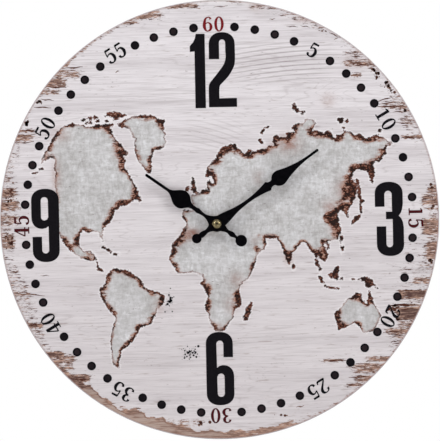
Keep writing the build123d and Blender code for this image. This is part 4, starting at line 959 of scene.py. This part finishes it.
def whitewash(finish, shades, fine, coast):
    """Thin white paint over boards, with painted shade that darkens it towards the bottom: long grain, broad
    bands, arched grain, thin grain lines, short cracks, and a bright lip where the paint ends at a coast."""
    broad = finish.noise((0.005, 0.05, 0.11), 3.0, 0.5, (3, 0, 5))
    contour = finish.noise((0.004, 0.05, 0.06), 2.0, 0.45, (7, 0, 1), 0.6)
    line = finish.sum("PINGPONG", finish.times(contour, 22.0), 0.5)
    grain = finish.times(finish.rise(line, 0.0, 0.12, 1.0, 0.0), finish.rise(fine, 0.35, 0.6, 0.1, 0.6))
    share = finish.blend(finish.rise(fine, 0.38, 0.75), 0.55, finish.rise(broad, 0.35, 0.75, 0.0, 0.4))
    # Painted shade: the whitewash is drawn darker towards the bottom, where less light falls from above
    paint = finish.over(shades.paint_low, shades.paint, finish.along(2), *PAINT_SHADE_HEIGHTS)
    paint = finish.mix(share, paint, shades.paint_shade)
    paint = finish.mix(finish.times(grain, 0.6), paint, linear(158, 148, 150))
    wave = finish.blend(fine, 2.4, finish.attribute("arch"))
    arch = finish.times(finish.rise(finish.sum("SINE", wave), 0.35, 1.0), finish.attribute("arch_share"))
    paint = finish.mix(finish.times(arch, 0.75), paint, linear(150, 140, 142))
    threads = finish.noise((0.016, 0.1, 0.62), 2.0, 0.6, (6, 4, 4))
    paint = finish.over(paint, linear(160, 151, 153), threads, 0.5, 0.74, 0.32)
    scratch = finish.noise((0.06, 0.3, 0.8), 3.0, 0.6, (2, 8, 6))
    scratch = finish.sum("ADD", scratch, finish.rise(finish.along(2), *CRACKED_HEIGHTS, 0.0, 0.035))
    paint = finish.over(paint, linear(132, 112, 106), scratch, 0.64, 0.74, 0.5)
    lip = finish.times(finish.rise(coast, -1.8, -0.9), finish.rise(coast, -0.3, -0.7))
    return finish.mix(finish.times(lip, 0.32), paint, linear(236, 233, 234))


def zinc(finish, shades):
    """Pale zinc: small crystals, brush marks both ways and broad clouds, with painted shade that darkens it
    towards the bottom.
    """
    crystal = finish.node("SeparateColor", 0, {0: finish.cells(0.5, "Color")})
    across = finish.noise((0.14, 0.4, 0.4), 5.0, 0.7, (2, 9, 4), 0.8)
    upright = finish.noise((0.4, 0.4, 0.14), 5.0, 0.7, (7, 1, 3), 0.8)
    brushed = finish.sum("ADD", across, upright)
    clouds = finish.noise(0.06, 3.0, 0.5, (1, 1, 9))
    share = finish.blend(crystal, 0.2, finish.rise(brushed, 0.76, 1.24, 0.0, 0.65))
    share = finish.sum("ADD", share, finish.rise(clouds, 0.35, 0.65, -0.1, 0.25), clamp=True)
    # Painted shade: the zinc is drawn darker towards the bottom, as the whitewash is
    land = finish.over(shades.land_low, shades.land, finish.along(2), *LAND_SHADE_HEIGHTS)
    spangle = finish.noise((0.15, 0.3, 0.2), 4.0, 0.62, (5, 2, 8), 0.5)
    land = finish.over(land, linear(224, 224, 227), spangle, 0.5, 0.68, 0.6)
    return finish.mix(share, land, shades.land_shade)


def rusty_coast(finish, shades, base, coast, speck):
    """Rust inland of the coast: where it is heavy a toothed dark crust with pale specks and a soft stain
    round it, and elsewhere a thin broken line."""
    heavy = finish.attribute("rust")
    patch = finish.noise((0.1, 0.1, 0.14), 3.0, 0.55, (1, 5, 2))
    tooth = finish.noise((0.14, 0.24, 0.36), 4.0, 0.6, (8, 3, 3))
    deep = finish.rise(heavy, 1.05, 1.6, 0.0, 9.0)
    reach = finish.blend(heavy, finish.rise(tooth, 0.3, 0.62, 1.8, 8.0), deep)
    cloud = finish.rise(finish.noise((0.2, 0.2, 0.3), 5.0, 0.7, (2, 6, 8)), 0.3, 0.6, 0.3, 1.0)
    base = finish.mix(finish.times(cloud, finish.attribute("stain")), base, shades.stain)
    start = finish.rise(coast, -0.5, 0.1)
    halo = finish.rise(coast, finish.times(reach, 0.7), finish.blend(reach, 2.0, 0.8), 0.55, 0.0)
    base = finish.mix(finish.times(start, halo), base, shades.stain)
    crust = finish.rise(coast, finish.times(reach, 0.65), finish.blend(reach, 1.3, 0.3), 1.0, 0.0)
    crust = finish.times(finish.times(start, crust), finish.rise(heavy, 0.06, 0.3))
    tone = finish.noise((0.22, 0.3, 0.34), 4.0, 0.7, (4, 4, 1))
    inward = finish.sum("DIVIDE", coast, finish.sum("MAXIMUM", reach, 0.6))
    depth = finish.rise(inward, 0.0, 1.0, 1.3, 0.15)
    depth = finish.sum("ADD", depth, finish.rise(tone, 0.36, 0.6, -0.6, 0.45))
    depth = finish.sum("ADD", depth, finish.rise(speck, 0.38, 0.6, -0.5, 0.4))
    rust = finish.over(linear(165, 134, 121), shades.rust, depth, -0.1, 0.45)
    base = finish.mix(crust, base, finish.over(rust, shades.rust_shade, depth, 0.35, 1.0))
    edge = finish.times(finish.rise(coast, -0.6, -0.1), finish.rise(coast, 0.3, 0.9, 1.0, 0.0))
    broken = finish.rise(finish.blend(heavy, 0.35, patch), 0.42, 0.62, 0.12, 0.8)
    line = finish.over(linear(95, 51, 38), shades.rust_shade, tone, 0.4, 0.6)
    return finish.mix(finish.times(edge, broken), base, line)


def worn_rim(finish, shades, base):
    """Bare wood in speckled streaks where the paint has worn away, paler where it is scoured and less dark at
    the foot, and a thin line of painted shade along the very rim, where the board's edge rounds off."""
    streak = finish.noise((0.05, 0.3, 0.7), 4.0, 0.6, (9, 3, 7))
    grit = finish.noise((0.26, 0.8, 1.25), 3.0, 0.75, (3, 7, 1))
    worn = finish.attribute("worn")
    level = finish.blend(worn, 0.6, finish.times(streak, 0.7))
    bare = finish.rise(finish.blend(grit, 1.4, level), 1.3, 1.45)
    tone = finish.noise((0.1, 0.4, 0.9), 5.0, 0.72, (5, 5, 0))
    dark = finish.rise(tone, 0.4, 0.56, 0.0, 0.7)
    dark = finish.sum("ADD", dark, finish.rise(grit, 0.5, 0.62, 0.0, 0.7), clamp=True)
    dark = finish.sum("ADD", dark, finish.rise(worn, 0.85, 1.15, 0.0, 0.5), clamp=True)
    scoured = finish.blend(streak, 1.6, worn)
    dark = finish.times(dark, finish.rise(scoured, 2.4, 2.0, 0.4, 1.0))
    dark = finish.times(dark, finish.rise(finish.along(2), *FOOT_HEIGHTS, 0.72, 1.0))
    pale = finish.over(shades.wood, linear(182, 161, 150), scoured, 2.0, 2.4)
    base = finish.mix(finish.times(bare, 0.95), base, finish.mix(dark, pale, shades.wood_shade))
    # Painted shade: a thin dull line in the stain colour along the very rim, where the board's edge rounds
    # off
    return finish.mix(finish.rise(finish.attribute("rim"), 0.2, 1.1, 0.35, 0.0), base, shades.stain)


def printed(finish, grain, base):
    """Ink on the sheet: hardly any relief, and a dull gloss."""
    finish.bump(grain, 0.05, 0.05)
    return finish.done(base, finish.rise(grain, 0.3, 0.7, 0.45, 0.6), specular_ior_level=0.05)


def ink_finish(name, shade, high=None):
    """Printed ink: nearly even, thinner in places, and of another shade high on the face if one is given."""
    finish = Finish(name)
    thin = finish.noise((0.7, 0.7, 0.9), 4.0, 0.6)
    base = finish.over(shade, [min(1.0, part * 1.4 + 0.001) for part in shade], thin, 0.35, 0.75)
    if high is not None:
        base = finish.over(base, high, finish.along(2), *RED_HEIGHTS)
    return printed(finish, thin, base)


def dot_finish(shade):
    """Ink that has run to the edge of each dot and left its middle thinner and browner, more so in some."""
    finish = Finish("dot_ink")
    thin = finish.noise((0.7, 0.7, 0.9), 4.0, 0.6)
    share = finish.rise(finish.noise(0.07, 2.0, 0.5, (6, 1, 3)), 0.35, 0.65, 0.1, 1.0)
    share = finish.times(share, finish.rise(finish.attribute("pool"), 0.0, 0.5, 1.0, 0.0))
    return printed(finish, thin, finish.mix(share, shade, linear(38, 30, 33)))


def crack_finish(shade):
    """Dark wood in a crack, paler where the paint has held."""
    finish = Finish("crack_wood")
    grain = finish.noise((0.35, 0.5, 0.9), 4.0, 0.7, (2, 2, 6))
    base = finish.over(shade, linear(150, 122, 110), grain, 0.5, 0.66)
    finish.bump(grain, 0.1, 0.05)
    return finish.done(base, finish.rise(grain, 0.3, 0.7, 0.6, 0.75), specular_ior_level=0.2)


def board_finish():
    """Pressed fibre board: brown fibres, clouds and flecks on the back, whitewash worn thin on the rim and
    strayed a little way over the back's edge."""
    finish = Finish("board_fibre")
    fibre = finish.noise(0.8, 6.0, 0.7)
    fleck = finish.noise(1.6, 3.0, 0.6, (3, 3, 3))
    brown = finish.over(linear(176, 142, 104), linear(140, 106, 74), fibre, 0.3, 0.7)
    brown = finish.over(brown, linear(104, 76, 54), fleck, 0.6, 0.72)
    cloud = finish.noise((0.03, 0.03, 0.02), 5.0, 0.62, (4, 2, 7))
    brown = finish.over(brown, linear(196, 168, 136), cloud, 0.35, 0.7, 0.16)
    thin = finish.rise(finish.noise((0.05, 0.1, 0.3), 4.0), 0.28, 0.42)
    wash = finish.times(finish.rise(finish.along(1), *WASH_DEPTHS), thin)
    middle = (-SHEET_CENTRE[0] / MM, 0, -SHEET_CENTRE[1] / MM)
    outward = finish.node("VectorMath", "Value", {0: finish.mapped((1, 0, 1), middle)}, operation="LENGTH")
    stray = finish.blend(finish.noise(0.12, 5.0, 0.7, (1, 9, 2)), 9.0, outward)
    wash = finish.sum("MAXIMUM", wash, finish.rise(stray, *WASH_REACH, 0.0, 0.75))
    base = finish.mix(wash, brown, bpy.context.scene.clock_colours.paint_shade)
    finish.bump(finish.sum("ADD", fibre, fleck), 0.25, 0.2)
    return finish.done(base, finish.rise(fibre, 0.3, 0.7, 0.75, 0.9), specular_ior_level=0.2)


def winding_finish():
    """Enamelled wire laid side by side along the bobbin."""
    finish = Finish("enamelled_wire")
    wire = finish.node("TexWave", "Fac", {"Vector": finish.mapped(0.8), "Scale": 1.0, "Distortion": 0.4})
    tint = finish.noise(0.4)
    copper = finish.mix(tint, linear(178, 92, 48), linear(206, 124, 70))
    base = finish.mix(finish.times(wire, 0.6), linear(110, 52, 28), copper)
    finish.bump(wire, 0.5, 0.1)
    return finish.done(base, finish.rise(tint, 0.3, 0.7, 0.28, 0.42), metallic=0.7)


def circuit_finish():
    """Green lacquer over copper tracks."""
    finish = Finish("circuit_lacquer")
    tracks = finish.cells(0.35, "Distance")
    tint = finish.noise(0.6)
    green = finish.mix(tint, linear(30, 92, 56), linear(44, 116, 72))
    base = finish.over(green, linear(92, 140, 80), tracks, 0.32, 0.4)
    finish.bump(tracks, 0.2, 0.05)
    return finish.done(base, finish.rise(tint, 0.3, 0.7, 0.3, 0.45))


def slot_finishes():
    """One finish for each material slot of the works and the fixings."""
    metal, dull, faint = {"metallic": 1.0}, {"specular_ior_level": 0.3}, {"specular_ior_level": 0.06}
    return {
        "board": board_finish(), "winding": winding_finish(), "circuit": circuit_finish(),
        "hands": speckled("hand_enamel", (1, 1, 3), (6, 5, 8), 0.5, (0.3, 0.4), (0.04, 0.04), **faint),
        "cap": speckled("cap_brass", (100, 90, 64), (136, 126, 98), 0.9, (0.07, 0.12), (0.03, 0.03), **metal),
        "fixings": speckled("nut_brass", (166, 130, 70), (198, 164, 100), 0.8, (0.26, 0.4), **metal),
        "gasket": speckled(
            "gasket_rubber", (22, 22, 23), (36, 36, 37), 1.2, (0.7, 0.85), (0.2, 0.05), **dull
        ),
        "hanger": speckled(
            "hanger_steel", (160, 162, 165), (188, 190, 192), (0.06, 1.2, 1.8), (0.3, 0.42), **metal
        ),
        "movement": speckled("case_moulding", (24, 24, 26), (36, 36, 38), 1.4, (0.45, 0.6), (0.15, 0.05)),
        "knob": speckled("knob_moulding", (52, 52, 55), (72, 72, 75), 1.2, (0.4, 0.55), (0.12, 0.05)),
        "bridge": speckled("bridge_moulding", (214, 212, 205), (232, 230, 224), 0.8, (0.4, 0.55)),
        "wheels": speckled("wheel_moulding", (224, 220, 206), (240, 237, 226), 1.0, (0.35, 0.5)),
        "magnet": speckled("magnet_ferrite", (58, 58, 62), (84, 84, 88), 2.0, (0.4, 0.6), metallic=0.6),
        "lamination": speckled(
            "lamination_steel", (140, 142, 146), (184, 186, 190), (0.1, 2.0, 0.1), (0.3, 0.45), **metal
        ),
        "bobbin": speckled("bobbin_moulding", (206, 190, 150), (224, 210, 176), 0.9, (0.4, 0.55)),
        "leads": speckled("lead_tin", (176, 178, 180), (208, 210, 212), 1.5, (0.25, 0.4), **metal),
        "resin": speckled("chip_resin", (14, 14, 15), (24, 24, 25), 1.5, (0.25, 0.4)),
        "can": speckled(
            "can_steel", (188, 190, 192), (216, 218, 220), (0.1, 1.2, 1.2), (0.34, 0.46), (0.02, 0.02),
            **metal
        ),
        "sleeve": speckled("sleeve_film", (36, 78, 116), (52, 98, 138), (0.08, 0.5, 0.5), (0.25, 0.38)),
    }


# Operators

class CLOCK_OT_face_sheet(bpy.types.Operator):
    """Lay the printed sheet with its map on the board"""

    bl_idname = "clock.face_sheet"
    bl_label = "Face Sheet"

    def execute(self, context):
        """The sheet is a flat ring: the circle of the hole is carried out to the circle of the rim in even
        steps at the front, and straight back at the rear. Each point holds the fields of the face there."""
        face = context.scene.clock_face
        turn = np.linspace(0, 2 * math.pi, face.spokes, endpoint=False)
        way = np.stack((np.cos(turn), np.sin(turn)), 1)
        share = np.linspace(0, 1, face.rings + 1)[:, None, None]
        flat = (1 - share) * (way * face.hole_radius) + share * (way * SHEET_RADIUS + SHEET_CENTRE)
        flat = np.concatenate((flat, flat[-1:], flat[:1]))
        depth = np.full(flat.shape[:2], SHEET_FRONT)
        depth[-2:] = SHEET_BACK
        points = np.stack((flat[..., 0], depth, flat[..., 1]), -1).reshape(-1, 3)
        faces = grid_faces(*depth.shape, True)
        sheet = add_piece("face_sheet", points, [faces], face_finish(), "print")
        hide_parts("dial_print")
        middle = (points[:, [0, 2]] - (face.centre_right, face.centre_up)) / MM
        for name, field in (
            ("coast", coast_distance), ("rust", rust_strength), ("worn", worn_strength),
            ("arch", arched_grain), ("arch_share", arched_share), ("rim", rim_distance),
            ("stain", stain_strength),
        ):
            held = sheet.data.attributes.new(name, "FLOAT", "POINT")
            held.data.foreach_set("value", field(middle).astype(np.float32))
        self.spread(sheet.data, flat, faces)
        return {"FINISHED"}

    def spread(self, mesh, flat, faces):
        """Flat map of the sheet: the front fills the square, and the rear lies small in a free corner."""
        wide = (flat.reshape(-1, 2) - SHEET_CENTRE) / (2 * SHEET_RADIUS)
        circles = faces // flat.shape[1]
        front = circles.max(1) < len(flat) - 2
        large, small = (wide * size + middle for size, middle in (
            (FRONT_SIZE, FRONT_MIDDLE), (REAR_SIZE, REAR_MIDDLE)
        ))
        spots = np.where(front[:, None, None], large[faces], small[faces])
        layer = mesh.uv_layers.new(name="OFBake")
        layer.uv.foreach_set("vector", spots.astype(np.float32).ravel())


class CLOCK_OT_hour_figures(bpy.types.Operator):
    """Print the four big hour figures"""

    bl_idname = "clock.hour_figures"
    bl_label = "Hour Figures"

    def execute(self, context):
        """Each figure is a band or two, moved to its place on the print."""
        face = context.scene.clock_face
        spread = face.hour_spread / MM
        places = (
            (figure_one, (-20.0, 87.3)), (figure_two, (-5.8, 87.3)), (figure_three, (121.0, -30.3)),
            (figure_six, (-11.8, -143.2)), (figure_nine, (-144.7, -29.9)),
        )
        front = SHEET_FRONT - face.ink_height
        solids = [
            band_solid([edge + corner for edge in bled(band, spread)], SHEET_FRONT, front)
            for figure, corner in places for band in figure()
        ]
        ink = ink_finish("black_ink", context.scene.clock_colours.ink)
        add_piece("hour_figures", *joined(solids), ink, "print")
        return {"FINISHED"}


class CLOCK_OT_minute_figures(bpy.types.Operator):
    """Print the ring of minute figures, the quarters in red"""

    bl_idname = "clock.minute_figures"
    bl_label = "Minute Figures"

    def number(self, face, minute):
        """Bands of a number, its figures side by side, turned so that their tops point outwards."""
        text = str(minute)
        size = face.minute_height / MM / FIGURE_HEIGHT
        pitch = FIGURE_WIDTH + face.minute_gap / MM
        middle = ring_places(minute, face.figure_radius / MM) + NUMBER_SHIFTS.get(minute, (0, 0))
        angle = math.radians(minute * MINUTE_TURN)
        right = np.array((math.cos(angle), -math.sin(angle)))
        out = np.array((math.sin(angle), math.cos(angle)))
        bands = []
        for order, figure in enumerate(text):
            shift = (order - (len(text) - 1) / 2) * pitch
            bands += [
                [middle + size * ((edge[:, :1] + shift) * right + edge[:, 1:] * out)
                 for edge in bled(band, face.ink_spread / MM)]
                for band in SMALL_FIGURES[figure]
            ]
        return bands

    def execute(self, context):
        face, shades = context.scene.clock_face, context.scene.clock_colours
        for name, tones, minutes in (
            ("minute_figures_black", (shades.ink,), (5, 10, 20, 25, 35, 40, 50, 55)),
            ("minute_figures_red", (shades.red_ink, shades.red_ink_high), (15, 30, 45, 60)),
        ):
            bands = [band for minute in minutes for band in self.number(face, minute)]
            fronts = SHEET_FRONT - face.ink_height * (1 + INK_STEP * (np.arange(len(bands)) % INK_LEVELS))
            solids = [band_solid(band, SHEET_FRONT, front) for band, front in zip(bands, fronts)]
            add_piece(name, *joined(solids), ink_finish(name + "_ink", *tones), "print")
        return {"FINISHED"}


class CLOCK_OT_minute_dots(bpy.types.Operator):
    """Print the ring of minute dots and the stray ink blots"""

    bl_idname = "clock.minute_dots"
    bl_label = "Minute Dots"

    def execute(self, context):
        """A dot stands at every minute that has no figure."""
        face = context.scene.clock_face
        minutes = np.arange(60)
        places = ring_places(minutes[minutes % 5 > 0], face.ring_radius / MM)
        radii = np.full(len(places), face.dot_diameter / MM / 2)
        shade = context.scene.clock_colours.ink
        front = SHEET_FRONT - face.ink_height
        studs = dot_solids(places, radii, SHEET_FRONT, front, DOT_SIDES)
        dots = add_piece("minute_dots", *studs, dot_finish(shade), "print")
        pool = np.tile(np.repeat((0, 1, 1), DOT_SIDES), len(places)).astype(np.float32)
        dots.data.attributes.new("pool", "FLOAT", "POINT").data.foreach_set("value", pool)
        spots = blots(INK_SPLASHES, front, INK_RADII)
        add_piece("ink_blots", *spots, ink_finish("blot_ink", shade), "print")
        return {"FINISHED"}


class CLOCK_OT_worn_paint(bpy.types.Operator):
    """Mark the cracks and chips in the paint by the rim"""

    bl_idname = "clock.worn_paint"
    bl_label = "Worn Paint"

    def execute(self, context):
        """A crack is a pen stroke along a line that sways with a sine. Its width goes up with the square of a
        sine from the ends to the middle, and varies by a quarter with a faster one. Chips are round spots."""
        front = SHEET_FRONT - context.scene.clock_face.ink_height / 2
        shade = context.scene.clock_colours.wood_shade
        share = np.linspace(0, 1, CRACK_POINTS)[:, None]
        solids = []
        for order, (left, right, wide) in enumerate(WORN_CRACKS):
            line = (1 - share) * left + share * right
            line[:, 1] += CRACK_SWAY * np.sin(share[:, 0] * 9 + order)
            swell = np.sin(math.pi * share) ** 2 * (0.75 + 0.25 * np.sin(share * 17 + order))
            stroke = np.hstack((line, wide * (CRACK_END + swell)))
            solids.append(band_solid(pen(*stroke, steps=3), SHEET_FRONT, front))
        solids.append(blots(PAINT_CHIPS, front, CHIP_RADII))
        add_piece("paint_cracks", *joined(solids), crack_finish(shade), "print")
        return {"FINISHED"}


class CLOCK_OT_works(bpy.types.Operator):
    """Finish the board, the hands, the fixings and the works"""

    bl_idname = "clock.works"
    bl_label = "Works"

    def execute(self, context):
        finishes = slot_finishes()
        slots = {entry["node"]: entry["material_slot"] for entry in frame["record"]["subparts"]}
        for name, node in frame["nodes"].items():
            if slots[name] in finishes:
                node.data.materials.clear()
                node.data.materials.append(finishes[slots[name]])
        return {"FINISHED"}


class CLOCK_OT_stage(bpy.types.Operator):
    """Set up the camera, the floor and the soft light"""

    bl_idname = "clock.stage"
    bl_label = "Stage"

    def execute(self, context):
        scene = context.scene
        stage = scene.clock_stage
        scene.view_settings.view_transform = "Standard"
        self.camera(scene, stage)
        self.lamps(stage)
        self.room(scene, stage)
        self.floor(stage)
        return {"FINISHED"}

    def camera(self, scene, stage):
        """Long lens straight in front of the face, turned with the clock."""
        lens = bpy.data.cameras.new("clock_camera")
        lens.sensor_fit = "HORIZONTAL"
        lens.sensor_width = 36.0
        lens.lens = lens.sensor_width * stage.distance / stage.view_width
        camera = placed("clock_camera", lens)
        turn = Euler((math.pi / 2, 0, 0)).to_matrix() @ Matrix.Rotation(-stage.roll, 3, "Z")
        place = Vector((stage.aim_right, SHEET_FRONT - stage.distance, stage.aim_up))
        camera.matrix_world = Matrix.LocRotScale(place, turn, None)
        scene.camera = camera

    def lamps(self, stage):
        """Two wide lamps above the face, to the left and to the right, a smaller one further out on each
        side, and one behind, all aimed at the hand axis."""
        for name, (place, share, size) in LAMPS.items():
            light = bpy.data.lights.new(name, "AREA")
            light.shape = "SQUARE"
            light.size = size
            light.energy = stage.lamp_power * share
            lamp = placed(name, light)
            lamp.location = place
            lamp.rotation_euler = (-Vector(place)).to_track_quat("-Z", "Y").to_euler()

    def room(self, scene, stage):
        """White room: plain white to the camera, softer as light, and dim in front of the face."""
        world = bpy.data.worlds.new("white_room")
        scene.world = world
        world.use_nodes = True
        tree = world.node_tree
        way = add_node(tree, "SeparateXYZ", 1, {0: add_node(tree, "TexCoord", "Generated", {})})
        light = add_node(tree, "MapRange", "Result", {
            "Value": way, "From Min": FRONT_WAYS[0], "From Max": FRONT_WAYS[1],
            "To Min": stage.ambient_front, "To Max": stage.ambient,
        }, interpolation_type="SMOOTHSTEP")
        seen = add_node(tree, "LightPath", "Is Camera Ray", {})
        backdrop = tree.nodes["Background"]
        backdrop.inputs["Color"].default_value = (1, 1, 1, 1)
        tree.links.new(add_node(tree, "Mix", 0, {0: seen, 2: light, 3: 1.0}), backdrop.inputs["Strength"])

    def floor(self, stage):
        """Round pale floor: a low bowl whose height goes up with the fourth power of the radius."""
        out = np.linspace(FLOOR_MIDDLE, FLOOR_RADIUS, FLOOR_RINGS)[:, None]
        turn = np.linspace(0, 2 * math.pi, FLOOR_SPOKES, endpoint=False)
        height = FLOOR_RISE * (out / FLOOR_RADIUS) ** 4 - stage.floor_drop
        round_floor = np.broadcast_arrays(out * np.cos(turn), out * np.sin(turn), height)
        points = np.stack(round_floor, -1).reshape(-1, 3)
        faces = grid_faces(FLOOR_RINGS, FLOOR_SPOKES, False).tolist() + [list(range(FLOOR_SPOKES))]
        mesh = bpy.data.meshes.new("pale_floor")
        mesh.from_pydata(points.tolist(), [], faces)
        mesh.materials.append(speckled("floor_paint", (231,) * 3, (235,) * 3, 0.2, (0.7, 0.85), (0.02, 0.1)))
        floor = placed("pale_floor", mesh)


class CLOCK_PT_sidebar(bpy.types.Panel):
    """Steps and sizes of the clock"""

    bl_idname = "CLOCK_PT_sidebar"
    bl_label = "World Time Clock"
    bl_space_type = "VIEW_3D"
    bl_region_type = "UI"
    bl_category = "Clock"

    def draw(self, context):
        for step in STEPS:
            self.layout.operator(step.bl_idname)
        for group in GROUPS:
            held = getattr(context.scene, group)
            box = self.layout.box()
            for name in held.__annotations__:
                box.prop(held, name)


STEPS = (
    CLOCK_OT_face_sheet, CLOCK_OT_worn_paint, CLOCK_OT_hour_figures, CLOCK_OT_minute_figures,
    CLOCK_OT_minute_dots, CLOCK_OT_works, CLOCK_OT_stage,
)
GROUPS = {"clock_face": ClockFaceSizes, "clock_colours": ClockColours, "clock_stage": ClockStage}
CLASSES = (*GROUPS.values(), *STEPS, CLOCK_PT_sidebar)


def register():
    for part in CLASSES:
        bpy.utils.register_class(part)
    for name, group in GROUPS.items():
        setattr(bpy.types.Scene, name, bpy.props.PointerProperty(type=group))


def unregister():
    for name in GROUPS:
        delattr(bpy.types.Scene, name)
    for part in reversed(CLASSES):
        bpy.utils.unregister_class(part)


def main():
    """Builds the clock's looks step by step."""
    register()
    bpy.ops.clock.face_sheet()
    bpy.ops.clock.worn_paint()
    bpy.ops.clock.hour_figures()
    bpy.ops.clock.minute_figures()
    bpy.ops.clock.minute_dots()
    bpy.ops.clock.works()
    bpy.ops.clock.stage()


if __name__ == "__main__":
    main()
